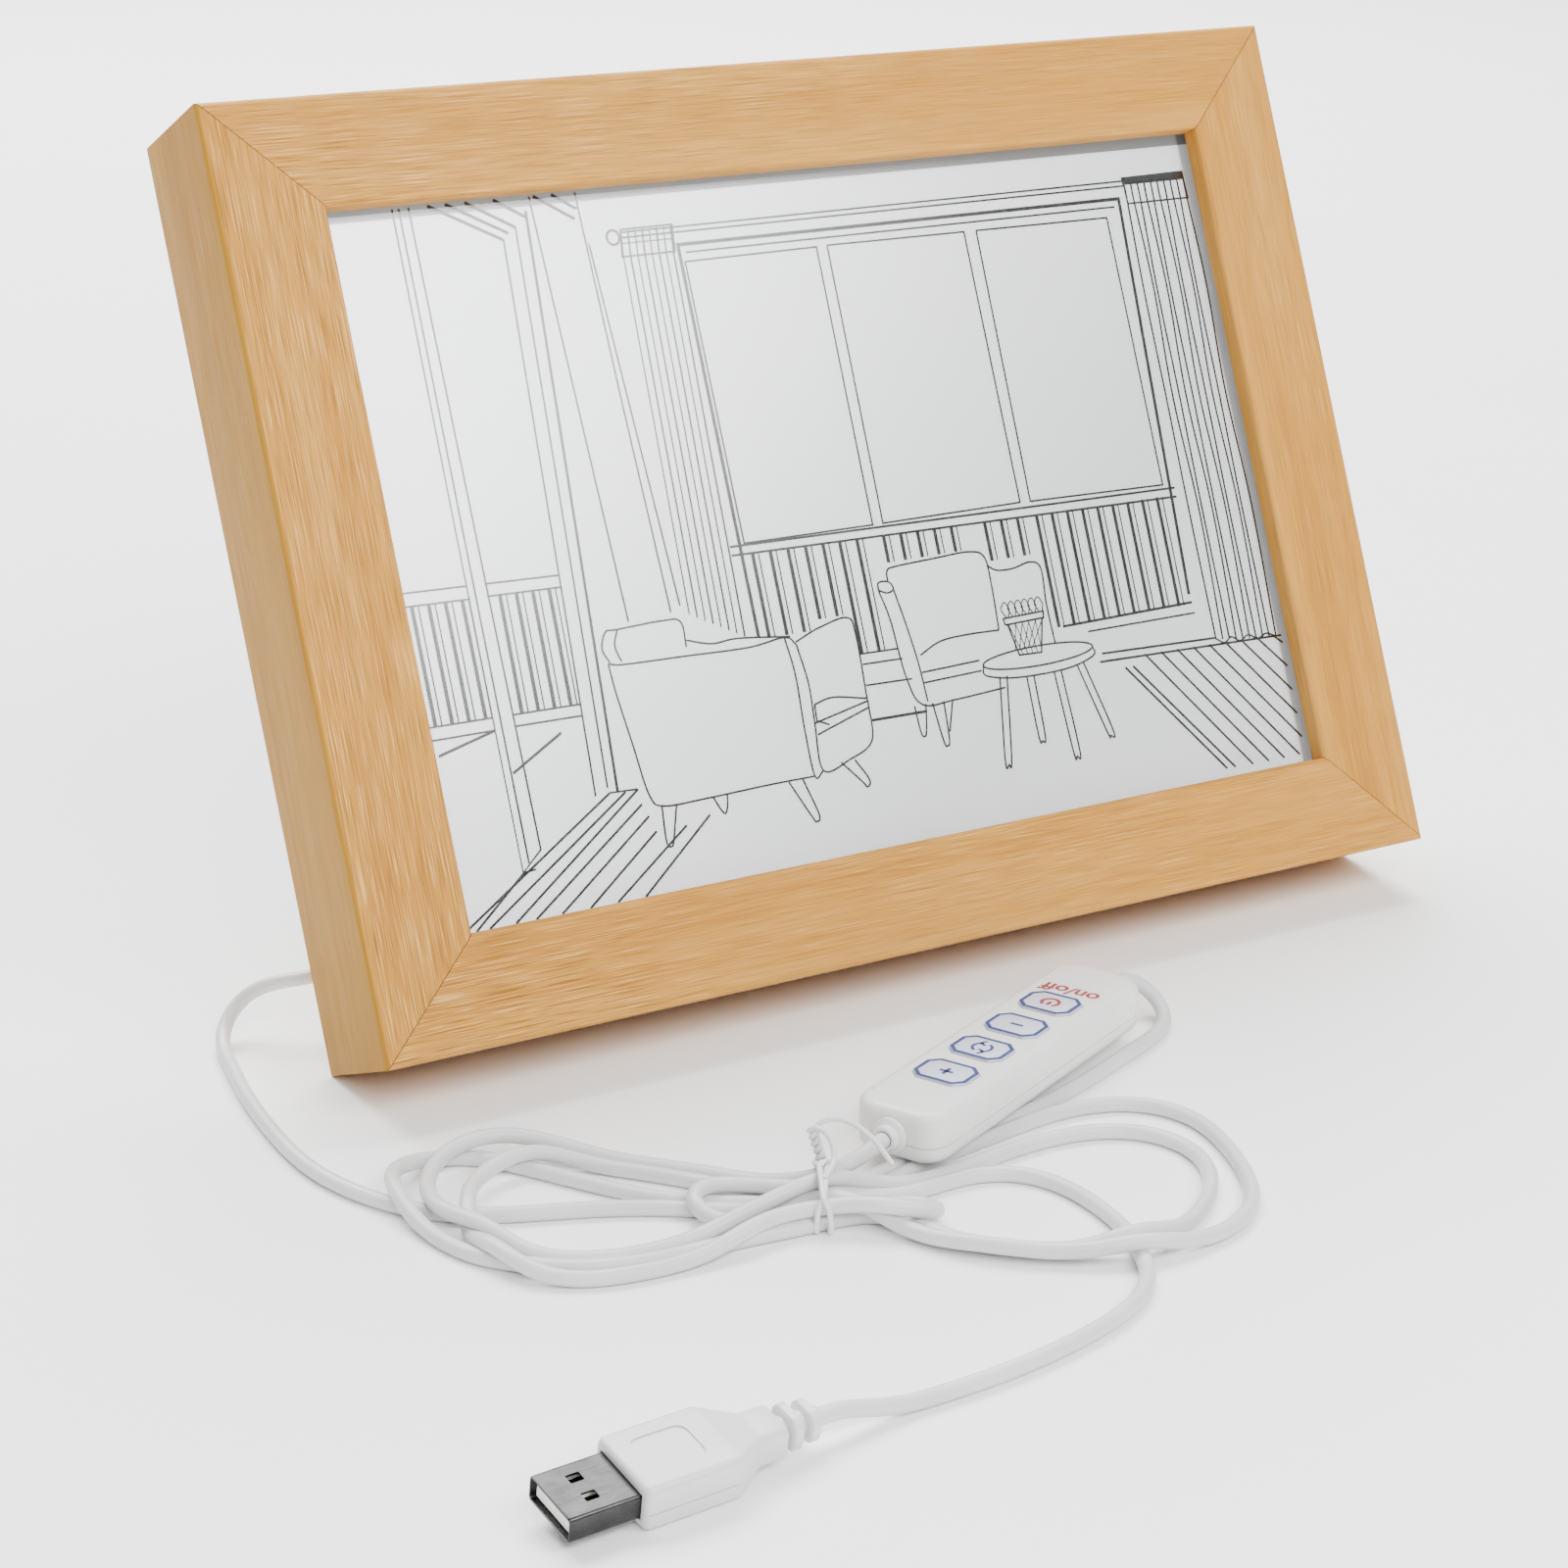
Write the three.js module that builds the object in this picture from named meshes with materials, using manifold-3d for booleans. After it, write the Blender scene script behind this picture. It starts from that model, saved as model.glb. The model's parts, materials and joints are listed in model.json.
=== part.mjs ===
// A framed light box: a mitred frame that leans back on an easel leg, a lit picture behind a clear pane,
// and a USB lead with an inline dimmer that lies in a tied hank in front of it.
// Millimetres. +X runs to the viewer's right, +Y away from the viewer, +Z up. The floor is z = 0.
import * as THREE from "three";
import { mergeVertices } from "three/addons/utils/BufferGeometryUtils.js";
import Module from "manifold-3d";

const wasm = await Module();
wasm.setup();

// ---------------------------------------------------------------- driving dimensions
const gap = 0.3; // clearance between pieces that touch

const frame = {
  width: 250,
  height: 186,
  depth: 32,
  railWidth: 22.2, // face width of one moulding
  lipDepth: 5, // thickness of the sight lip in front of the pane
  lipReach: 6, // how far the lip covers the pane's edge
  outerRound: 1.4,
  lipRound: 1.2,
  leanDegrees: 23.4,
};

const pane = { thickness: 2 };
const film = { thickness: 0.4 };
const diffuser = { thickness: 2 };
const spacer = { wall: 5, ledge: 2.8, rearDepth: 5.2 }; // its front part fills the light chamber
const board = { thickness: 1.2 };
const backPanel = { thickness: 3, recess: 0.8, cornerRadius: 2 };
const strip = { count: 4, width: 6, base: 0.8, chipHeight: 1, chipWidth: 5, chips: 12, endMargin: 9 };

const turnButton = { length: 24, width: 9, thickness: 1.2, pivotFromEnd: 6, fromPanelEdge: 26, inset: 7 };
const woodScrew = { shank: 1.3, head: 2.9, headHeight: 1.5, depth: 11, slotWidth: 0.8, slotDepth: 0.6 };

const grommet = { bore: 1.8, throat: 3.1, flange: 4.8, nose: 2.6, noseLength: 6, inset: 11 };

const easel = {
  openDegrees: 45, // angle between the leg and the back panel when it stands
  hingeDrop: 30, // from the panel's top edge down to the hinge axis
  topWidth: 24,
  footWidth: 44,
  thickness: 3,
  topClear: 3.6, // leg starts this far below the hinge axis
};
const hinge = {
  sheet: 1,
  knuckle: 2.3,
  pin: 1.2,
  knuckleLength: 6,
  plateWidth: 22,
  plateHeight: 15,
  leafWidth: 14,
  leafLength: 24,
  stopReach: 5.4,
  axisFromPanel: 2.7,
};
const rivet = { shank: 1.4, head: 2.6, headHeight: 0.9, depth: 2 };

const cord = { radius: 1.5, sides: 8, step: 7 };

const controller = {
  length: 80,
  width: 19,
  height: 10,
  cornerRadius: 5,
  edgeRound: 1.8,
  wall: 1.4,
  partingHeight: 3.4,
  baseHeight: 3.3, // it rests on strands of its own cord
  yawDegrees: 26,
  at: [-16.5, -74],
};
const key = {
  pitch: 13,
  across: 11.4,
  along: 8.9,
  chamfer: 1.9,
  proud: 0.5,
  flange: 0.8,
  flangeHeight: 0.8,
  travel: 0.5,
  rowOffset: -1.7,
  names: ["key_plus", "key_cycle", "key_minus", "key_power"],
};
const circuit = { thickness: 1, height: 3.6 };
const tactSwitch = { side: 5, height: 1.5, plunger: 1.3, slack: 0.1 };
const collar = { bore: 1.8, outer: 2.6, length: 3, flange: 3.2, flangeLength: 1 };
const inlet = { length: 10, drop: 1.6 }; // the cord from the hank's top into the near gland

const plug = {
  at: [-148, -168.6, 0],
  yawDegrees: 4,
  rollDegrees: 9,
  rollSink: 0.15, // its rounded edge brings it this much nearer the floor
  shellWidth: 12,
  shellHeight: 4.5,
  shellWall: 0.35,
  shellRound: 0.7,
  shellOut: 12.3,
  shellIn: 5,
  bodyLength: 17,
  bodyWidth: 15.4,
  bodyHeight: 8,
  taperLength: 6,
  neckLength: 5,
  neckWidth: 8,
  neckHeight: 6,
  bevel: 1.2,
  ringCount: 2,
  ringLength: 2.2,
  ringGap: 1.2,
  ringWidth: 7.2,
  ringHeight: 6.2,
  coreRadius: 2.2,
  tongueHeight: 1.9,
  tongueLength: 11,
  contactWidth: 1.1,
  contactPitch: 2.3,
};

const hank = {
  height: 8,
  left: { at: [-107.5, -78], reach: 35, half: 31, yawDegrees: -29 },
  right: { at: [-26, -115], reach: 43, half: 33, yawDegrees: -14 },
  waistLength: 34,
  waistWidth: 18,
};
const tie = {
  at: [-72, -101],
  yawDegrees: -29,
  wire: 0.55,
  halfWidth: 10.2,
  halfHeight: 4.15,
  knotTurns: 3,
  tail: 16,
};

// The lengths of cord that lie uncoiled, from end to end.
const cordRoutes = {
  cord_lead: [
    [-97.8, 15.9, 22.8],
    [-98.6, 18.8, 21.4],
    [-102.4, 20.2, 18.8],
    [-108, 19.2, 16.2],
    [-114.5, 18, 14.3],
    [-121, 18.4, 12.6],
    [-127, 23, 11.2],
    [-131.6, 27, 8.9],
    [-135.2, 27.4, 5.6],
    [-137.6, 23, 2.7],
    [-140.4, 14, 1.6],
    [-142.6, 4, 1.6],
    [-144.4, -9, 1.6],
    [-145.4, -26, 1.6],
    [-145.2, -42, 1.6],
    [-144, -53, 1.6],
    [-140.7, -63.2, 1.6],
  ],
  cord_outlet: [
    [22.4, -55, 8.3],
    [26.4, -53.1, 7.9],
    [29.8, -53.9, 6.6],
    [31, -57.8, 4.3],
    [29, -62.8, 2.3],
    [24, -66.4, 1.6],
    [15, -71, 1.6],
    [6.5, -75.4, 1.6],
    [-2, -78.6, 1.6],
    [-12.6, -82.8, 1.6],
  ],
  cord_tail: [
    [-35, -147.9, 1.6],
    [-40.4, -153.6, 1.6],
    [-48, -157.6, 1.6],
    [-58, -161, 1.6],
    [-68, -163.2, 1.6],
    [-79, -164.6, 1.6],
    [-90, -165, 2.2],
    [-99, -165.2, 3.2],
    [-106, -165.6, 4.4],
    [-113, -166.2, 4.95],
  ],
};

// ---------------------------------------------------------------- finishes
function finish(color, roughness, metalness = 0, extra = {}) {
  return new THREE.MeshStandardMaterial({ color, roughness, metalness, ...extra });
}

const finishes = {
  foil: finish(0xd8b07c, 0.5),
  clear: finish(0xf4f8fa, 0.05, 0, { transparent: true, opacity: 0.25 }),
  paper: finish(0xe4e4e2, 0.7),
  opal: finish(0xf2f2ee, 0.5),
  whitePlastic: finish(0xe6e6e4, 0.4),
  keyPlastic: finish(0xd9dbe2, 0.45),
  circuitGreen: finish(0x2f6b45, 0.5),
  ledBoard: finish(0xf1f1ee, 0.4),
  hardboard: finish(0x6e4a30, 0.8),
  steel: finish(0xb9bbbd, 0.3, 1),
  brass: finish(0xc9a45c, 0.35, 1),
  gold: finish(0xd8b25a, 0.25, 1),
  rubber: finish(0xdedede, 0.6),
  cord: finish(0xdcdcdc, 0.5),
  blackPlastic: finish(0x202022, 0.5),
};

// ---------------------------------------------------------------- helpers
function solidOf(geometry) {
  const bare = geometry.clone();
  bare.deleteAttribute("normal");
  bare.deleteAttribute("uv");
  const merged = mergeVertices(bare, 1e-4);
  return new wasm.Manifold(
    new wasm.Mesh({
      numProp: 3,
      vertProperties: merged.attributes.position.array,
      triVerts: new Uint32Array(merged.index.array),
    }),
  );
}

function geometryOf(solid) {
  const mesh = solid.getMesh();
  const points = new Float32Array(mesh.numVert * 3);
  for (let i = 0; i < mesh.numVert; i++) {
    points.set(mesh.vertProperties.subarray(i * mesh.numProp, i * mesh.numProp + 3), i * 3);
  }
  const geometry = new THREE.BufferGeometry();
  geometry.setAttribute("position", new THREE.BufferAttribute(points, 3));
  geometry.setIndex(new THREE.BufferAttribute(mesh.triVerts, 1));
  geometry.computeVertexNormals();
  return geometry;
}

function cut(geometry, ...tools) {
  return geometryOf(tools.reduce((left, tool) => left.subtract(solidOf(tool)), solidOf(geometry)));
}

function join(geometry, ...others) {
  return geometryOf(others.reduce((sum, other) => sum.add(solidOf(other)), solidOf(geometry)));
}

function common(geometry, other) {
  return geometryOf(solidOf(geometry).intersect(solidOf(other)));
}

function piece(name, geometry, material, group) {
  const mesh = new THREE.Mesh(geometry, material);
  mesh.name = name;
  group.add(mesh);
  return mesh;
}

function radians(degrees) {
  return (degrees * Math.PI) / 180;
}

function block(sizeX, sizeY, sizeZ, x = 0, y = 0, z = 0) {
  return new THREE.BoxGeometry(sizeX, sizeY, sizeZ).translate(x, y, z);
}

function roundedRectangle(width, height, radius) {
  const w = width / 2;
  const h = height / 2;
  const shape = new THREE.Shape();
  shape.moveTo(-w + radius, -h);
  shape.lineTo(w - radius, -h);
  shape.absarc(w - radius, -h + radius, radius, -Math.PI / 2, 0, false);
  shape.lineTo(w, h - radius);
  shape.absarc(w - radius, h - radius, radius, 0, Math.PI / 2, false);
  shape.lineTo(-w + radius, h);
  shape.absarc(-w + radius, h - radius, radius, Math.PI / 2, Math.PI, false);
  shape.lineTo(-w, -h + radius);
  shape.absarc(-w + radius, -h + radius, radius, Math.PI, 1.5 * Math.PI, false);
  return shape;
}

function chamferedRectangle(width, height, chamfer) {
  const w = width / 2;
  const h = height / 2;
  return new THREE.Shape([
    new THREE.Vector2(-w + chamfer, -h),
    new THREE.Vector2(w - chamfer, -h),
    new THREE.Vector2(w, -h + chamfer),
    new THREE.Vector2(w, h - chamfer),
    new THREE.Vector2(w - chamfer, h),
    new THREE.Vector2(-w + chamfer, h),
    new THREE.Vector2(-w, h - chamfer),
    new THREE.Vector2(-w, -h + chamfer),
  ]);
}

function circleHole(x, y, radius) {
  return new THREE.Path().absarc(x, y, radius, 0, 2 * Math.PI, true);
}

function prism(shape, depth, curveSegments = 5) {
  return new THREE.ExtrudeGeometry(shape, { depth, bevelEnabled: false, curveSegments });
}

// A sheet whose outline is drawn in X and Z, with its rear face at `rear` and its front face nearer the viewer.
function sheet(shape, thickness, rear) {
  return prism(shape, thickness).rotateX(Math.PI / 2).translate(0, rear, 0);
}

function roundBar(radius, length, segments = 16) {
  return new THREE.CylinderGeometry(radius, radius, length, segments);
}

// A solid of revolution about +Y from [radius, y] pairs that start and end on the axis or close on themselves.
function turned(profile, segments = 20) {
  return new THREE.LatheGeometry(
    profile.map(([r, y]) => new THREE.Vector2(r, y)),
    segments,
  );
}

function tube(points, radius, stepLength, sides = cord.sides, closed = false) {
  const path = new THREE.CatmullRomCurve3(
    points.map(([x, y, z]) => new THREE.Vector3(x, y, z)),
    closed,
    "centripetal",
  );
  const corners = [];
  for (let i = 0; i < sides; i++) {
    const angle = (2 * Math.PI * i) / sides;
    corners.push(new THREE.Vector2(radius * Math.cos(angle), radius * Math.sin(angle)));
  }
  return new THREE.ExtrudeGeometry(new THREE.Shape(corners), {
    steps: Math.max(2, Math.round(path.getLength() / stepLength)),
    extrudePath: path,
    bevelEnabled: false,
  });
}

// ---------------------------------------------------------------- frame mouldings
const lean = radians(frame.leanDegrees);
const standing = new THREE.Group();
standing.name = "standing_light_box";
standing.rotation.x = -lean; // the rear bottom edge stays on the floor

const rabbetWall = frame.railWidth - frame.lipReach;
const bayWidth = frame.width - 2 * rabbetWall; // the rabbet's width, between the stiles
const bayHeight = frame.height - 2 * rabbetWall;

// The moulding's section: u runs in from the outer edge, v back from the front face.
function mouldingSection() {
  const { depth, railWidth, lipDepth, outerRound, lipRound } = frame;
  const shape = new THREE.Shape();
  shape.moveTo(outerRound, 0);
  shape.lineTo(railWidth - lipRound, 0);
  shape.absarc(railWidth - lipRound, lipRound, lipRound, -Math.PI / 2, 0, false);
  shape.lineTo(railWidth, lipDepth);
  shape.lineTo(rabbetWall, lipDepth);
  shape.lineTo(rabbetWall, depth);
  shape.lineTo(0, depth);
  shape.lineTo(0, outerRound);
  shape.absarc(outerRound, outerRound, outerRound, Math.PI, 1.5 * Math.PI, false);
  return shape;
}

// One mitred length, lying along X with its outer edge at z = 0 and its inner edge above it.
function mitredMoulding(length) {
  const geometry = prism(mouldingSection(), length, 4);
  const points = geometry.attributes.position;
  const pullBack = gap / Math.SQRT2;
  for (let i = 0; i < points.count; i++) {
    const inward = points.getX(i);
    const back = points.getY(i);
    const atFarEnd = points.getZ(i) > length / 2;
    const along = length / 2 - inward - pullBack;
    points.setXYZ(i, atFarEnd ? -along : along, back - frame.depth, inward);
  }
  return geometry;
}

function screwHole(x, z) {
  const depth = woodScrew.depth + gap;
  return roundBar(woodScrew.shank + gap, 2 * depth, 12).translate(x, 0, z);
}

const panelBottom = rabbetWall;
const panelTop = frame.height - rabbetWall;
const buttonHeights = [panelBottom + turnButton.fromPanelEdge, panelTop - turnButton.fromPanelEdge];
const buttonX = frame.width / 2 - turnButton.inset;

const railBottom = mitredMoulding(frame.width);
const railTop = mitredMoulding(frame.width).rotateY(Math.PI).translate(0, 0, frame.height);
piece("frame_rail_bottom", railBottom, finishes.foil, standing);
piece("frame_rail_top", railTop, finishes.foil, standing);

const stileBlank = mitredMoulding(frame.height);
const stileLeft = stileBlank.clone().rotateY(Math.PI / 2).translate(-frame.width / 2, 0, frame.height / 2);
const stileRight = stileBlank.clone().rotateY(-Math.PI / 2).translate(frame.width / 2, 0, frame.height / 2);
piece(
  "frame_stile_left",
  cut(stileLeft, ...buttonHeights.map((z) => screwHole(-buttonX, z))),
  finishes.foil,
  standing,
);
piece(
  "frame_stile_right",
  cut(stileRight, ...buttonHeights.map((z) => screwHole(buttonX, z))),
  finishes.foil,
  standing,
);

// ---------------------------------------------------------------- the lit stack, from the lip back
const middle = frame.height / 2;
const stackWidth = bayWidth - 2 * gap;
const stackHeight = bayHeight - 2 * gap;
const paneFront = -frame.depth + frame.lipDepth + gap;

function stackSheet(name, material, front, thickness, shape = null) {
  const outline = shape ?? roundedRectangle(stackWidth, stackHeight, backPanel.cornerRadius);
  piece(name, sheet(outline, thickness, front + thickness).translate(0, 0, middle), material, standing);
  return front + thickness + gap;
}

const filmFront = stackSheet("front_pane", finishes.clear, paneFront, pane.thickness);
const diffuserFront = stackSheet("picture_film", finishes.paper, filmFront, film.thickness);
const spacerFront = stackSheet("diffuser_panel", finishes.opal, diffuserFront, diffuser.thickness);

function ring(wall, depth, front) {
  const outline = roundedRectangle(stackWidth, stackHeight, backPanel.cornerRadius);
  outline.holes.push(
    new THREE.Path(
      roundedRectangle(stackWidth - 2 * wall, stackHeight - 2 * wall, 1).getPoints(3).reverse(),
    ),
  );
  return sheet(outline, depth, front + depth).translate(0, 0, middle);
}

const panelRear = -backPanel.recess;
const panelFront = panelRear - backPanel.thickness;
const ledgeFront = panelFront - gap - spacer.rearDepth;
piece(
  "spacer_frame",
  join(
    ring(spacer.wall, ledgeFront - spacerFront, spacerFront),
    ring(spacer.wall - spacer.ledge, spacer.rearDepth + gap, ledgeFront - gap),
  ),
  finishes.whitePlastic,
  standing,
);

const boardWidth = stackWidth - 2 * (spacer.wall - spacer.ledge) - 2 * gap;
const boardHeight = stackHeight - 2 * (spacer.wall - spacer.ledge) - 2 * gap;
const boardFront = ledgeFront + gap;
stackSheet("led_board", finishes.ledBoard, boardFront, board.thickness, roundedRectangle(boardWidth, boardHeight, 1));

// A strip's outline has one raised step for each light-emitting chip.
function stripGeometry() {
  const length = boardWidth - 2 * (spacer.ledge + gap + strip.endMargin);
  const pitch = length / strip.chips;
  const shape = new THREE.Shape();
  shape.moveTo(-length / 2, 0);
  for (let i = 0; i < strip.chips; i++) {
    const centre = -length / 2 + (i + 0.5) * pitch;
    shape.lineTo(centre - strip.chipWidth / 2, 0);
    shape.lineTo(centre - strip.chipWidth / 2, -strip.chipHeight);
    shape.lineTo(centre + strip.chipWidth / 2, -strip.chipHeight);
    shape.lineTo(centre + strip.chipWidth / 2, 0);
  }
  shape.lineTo(length / 2, 0);
  shape.lineTo(length / 2, strip.base);
  shape.lineTo(-length / 2, strip.base);
  return prism(shape, strip.width).translate(0, 0, -strip.width / 2);
}

const stripPitch = (stackHeight - 2 * spacer.wall) / strip.count;
for (let i = 0; i < strip.count; i++) {
  const height = middle + (i - (strip.count - 1) / 2) * stripPitch;
  piece(
    `led_strip_${i + 1}`,
    stripGeometry().translate(0, boardFront - gap - strip.base, height),
    finishes.ledBoard,
    standing,
  );
}

// ---------------------------------------------------------------- back panel, grommet and turn buttons
const grommetX = -frame.width / 2 + rabbetWall + grommet.inset;
const grommetZ = panelBottom + grommet.inset;
const hingeZ = panelTop - easel.hingeDrop;
const plateRivets = [-1, 1].map((side) => [side * (hinge.plateWidth / 2 - 4.5), hingeZ + hinge.plateHeight - 4]);

const panelShape = roundedRectangle(stackWidth, stackHeight, backPanel.cornerRadius);
panelShape.holes.push(circleHole(grommetX, grommetZ - middle, grommet.throat + gap));
for (const [x, z] of plateRivets) {
  panelShape.holes.push(circleHole(x, z - middle, rivet.shank + gap));
}
stackSheet("back_panel", finishes.hardboard, panelFront, backPanel.thickness, panelShape);

piece(
  "cable_grommet",
  turned([
    [grommet.bore, panelFront - 1.2],
    [grommet.flange, panelFront - 1.2],
    [grommet.flange, panelFront - gap],
    [grommet.throat, panelFront - gap],
    [grommet.throat, panelRear + gap],
    [grommet.flange, panelRear + gap],
    [grommet.flange, panelRear + 1.6],
    [grommet.nose + 0.6, panelRear + 2.2],
    [grommet.nose, panelRear + grommet.noseLength],
    [grommet.bore, panelRear + grommet.noseLength],
    [grommet.bore, panelFront - 1.2],
  ]).translate(grommetX, 0, grommetZ),
  finishes.rubber,
  standing,
);

function turnButtonGeometry() {
  const { length, width, thickness, pivotFromEnd } = turnButton;
  const shape = roundedRectangle(length, width, width / 2 - 0.01);
  shape.holes.push(circleHole(-length / 2 + pivotFromEnd, 0, woodScrew.shank + gap));
  return sheet(shape, thickness, gap + thickness).translate(length / 2 - pivotFromEnd, 0, 0);
}

// A slotted wood screw whose head seats on a turn button and whose point goes into the stile.
function screwGeometry() {
  const seat = turnButton.thickness + 2 * gap;
  const { shank, head, headHeight, depth, slotWidth, slotDepth } = woodScrew;
  const blank = turned(
    [
      [0, -depth],
      [shank, -depth + 3],
      [shank, seat],
      [head, seat],
      [head, seat + 0.5],
      [head * 0.6, seat + headHeight],
      [0, seat + headHeight],
    ],
    16,
  );
  return cut(blank, block(2 * head, 2 * slotDepth, slotWidth, 0, seat + headHeight, 0));
}

let buttonNumber = 0;
for (const side of [-1, 1]) {
  for (const z of buttonHeights) {
    buttonNumber += 1;
    const button = turnButtonGeometry();
    if (side > 0) {
      button.rotateY(Math.PI);
    }
    button.translate(side * buttonX, 0, z);
    piece(`turn_button_${buttonNumber}`, button, finishes.brass, standing);
    piece(`turn_screw_${buttonNumber}`, screwGeometry().translate(side * buttonX, 0, z), finishes.brass, standing);
  }
}

// ---------------------------------------------------------------- easel leg and its hinge
const hingeY = panelRear + hinge.axisFromPanel;
const legGroup = new THREE.Group(); // its origin is the hinge axis; the leg hangs along -Z when folded
legGroup.position.set(0, hingeY, hingeZ);
legGroup.rotation.x = radians(easel.openDegrees);
standing.add(legGroup);

// A rolled knuckle about X, centred at x, joined to a sheet by its tangent side.
function knuckle(x, length) {
  const shape = new THREE.Shape().absarc(0, 0, hinge.knuckle, 0, 2 * Math.PI, false);
  shape.holes.push(circleHole(0, 0, hinge.pin + gap));
  return prism(shape, length, 10)
    .rotateY(Math.PI / 2)
    .translate(x - length / 2, 0, 0);
}

const knuckleShift = hinge.knuckleLength + gap;
const plateSheet = new THREE.Shape();
plateSheet.moveTo(-hinge.plateWidth / 2, 0);
plateSheet.lineTo(hinge.plateWidth / 2, 0);
plateSheet.lineTo(hinge.plateWidth / 2, hinge.plateHeight - 3);
plateSheet.quadraticCurveTo(hinge.plateWidth / 2, hinge.plateHeight, hinge.plateWidth / 2 - 3, hinge.plateHeight);
plateSheet.lineTo(-hinge.plateWidth / 2 + 3, hinge.plateHeight);
plateSheet.quadraticCurveTo(-hinge.plateWidth / 2, hinge.plateHeight, -hinge.plateWidth / 2, hinge.plateHeight - 3);
for (const [x, z] of plateRivets) {
  plateSheet.holes.push(circleHole(x, z - hingeZ, rivet.shank + gap));
}
const plateRear = -hinge.axisFromPanel + gap + hinge.sheet;
const plateBlank = cut(
  sheet(plateSheet, hinge.sheet, plateRear),
  block(hinge.knuckleLength + 2 * gap, 4, 2 * (hinge.knuckle + gap), 0, plateRear, 0),
);
piece(
  "hinge_plate",
  join(
    plateBlank,
    knuckle(-knuckleShift, hinge.knuckleLength),
    knuckle(knuckleShift, hinge.knuckleLength),
  ).translate(0, hingeY, hingeZ),
  finishes.steel,
  standing,
);
piece(
  "hinge_pin",
  roundBar(hinge.pin, 3 * hinge.knuckleLength + 4 * gap, 14).rotateZ(Math.PI / 2).translate(0, hingeY, hingeZ),
  finishes.steel,
  standing,
);

function rivetGeometry(depth) {
  return turned(
    [
      [0, -depth],
      [rivet.shank, -depth],
      [rivet.shank, gap],
      [rivet.head, gap],
      [rivet.head * 0.8, gap + rivet.headHeight * 0.7],
      [rivet.head * 0.4, gap + rivet.headHeight],
      [0, gap + rivet.headHeight],
    ],
    14,
  );
}

plateRivets.forEach(([x, z], i) => {
  const seat = hingeY + plateRear;
  const depth = seat - panelRear + rivet.depth;
  piece(`plate_rivet_${i + 1}`, rivetGeometry(depth).translate(x, seat, z), finishes.steel, standing);
});

// The leaf lies behind the leg when the leg is folded.
const legFront = gap - hingeY; // folded, it lies flat on the frame's rear face
const legRear = legFront + easel.thickness;
const leafFront = legRear + gap;
const leafRear = leafFront + hinge.sheet;
const leafRivets = [-9, -19];
const leafShoulder = hinge.knuckle + 2 * gap; // the leaf widens clear of the plate's knuckles
const leafShape = new THREE.Shape();
leafShape.moveTo(-hinge.knuckleLength / 2, 0);
leafShape.lineTo(-hinge.knuckleLength / 2, -leafShoulder);
leafShape.lineTo(-hinge.leafWidth / 2, -leafShoulder - 1);
leafShape.lineTo(-hinge.leafWidth / 2 + 2, -hinge.leafLength + 2);
leafShape.quadraticCurveTo(0, -hinge.leafLength - 2, hinge.leafWidth / 2 - 2, -hinge.leafLength + 2);
leafShape.lineTo(hinge.leafWidth / 2, -leafShoulder - 1);
leafShape.lineTo(hinge.knuckleLength / 2, -leafShoulder);
leafShape.lineTo(hinge.knuckleLength / 2, 0);
for (const z of leafRivets) {
  leafShape.holes.push(circleHole(0, z, rivet.shank + gap));
}
const leafBore = roundBar(hinge.pin + gap, 2 * hinge.knuckleLength, 20).rotateZ(Math.PI / 2);
const stopLug = block(hinge.knuckleLength, 1.4, hinge.stopReach - 1.2, 0, 0, (hinge.stopReach + 1.2) / 2)
  .translate(0, plateRear + gap + 0.7, 0)
  .rotateX(-radians(easel.openDegrees));
piece(
  "hinge_leaf",
  cut(
    join(knuckle(0, hinge.knuckleLength), sheet(leafShape, hinge.sheet, leafRear), stopLug),
    leafBore,
  ),
  finishes.steel,
  legGroup,
);

const hingeFloorHeight = hingeZ * Math.cos(lean) - hingeY * Math.sin(lean);
const legTilt = radians(easel.openDegrees) - lean; // the standing leg's angle from the vertical
const legLength = hingeFloorHeight / Math.cos(legTilt) + easel.thickness;
const legShape = new THREE.Shape();
legShape.moveTo(-easel.topWidth / 2 + 4, -easel.topClear);
legShape.quadraticCurveTo(-easel.topWidth / 2, -easel.topClear, -easel.topWidth / 2, -easel.topClear - 6);
legShape.lineTo(-easel.footWidth / 2, -legLength);
legShape.lineTo(easel.footWidth / 2, -legLength);
legShape.lineTo(easel.topWidth / 2, -easel.topClear - 6);
legShape.quadraticCurveTo(easel.topWidth / 2, -easel.topClear, easel.topWidth / 2 - 4, -easel.topClear);
const legBlank = cut(
  sheet(legShape, easel.thickness, legRear),
  ...leafRivets.map((z) => roundBar(rivet.shank + gap, 2 * rivet.depth + gap, 12).translate(0, legRear, z)),
);
// The foot is cut level with the floor.
const floorNormal = [0, Math.sin(legTilt), Math.cos(legTilt)];
const footCut = solidOf(legBlank).trimByPlane(floorNormal, -hingeFloorHeight);
piece("easel_leg", geometryOf(footCut), finishes.hardboard, legGroup);
leafRivets.forEach((z, i) => {
  const depth = gap + hinge.sheet + rivet.depth - gap;
  piece(`leaf_rivet_${i + 1}`, rivetGeometry(depth).translate(0, leafRear, z), finishes.steel, legGroup);
});

// ---------------------------------------------------------------- inline controller
const desk = new THREE.Group(); // everything on the cord, in the same frame as the standing box
const controllerGroup = new THREE.Group();
controllerGroup.position.set(controller.at[0], controller.at[1], controller.baseHeight);
controllerGroup.rotation.z = radians(controller.yawDegrees);
desk.add(controllerGroup);

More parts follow.
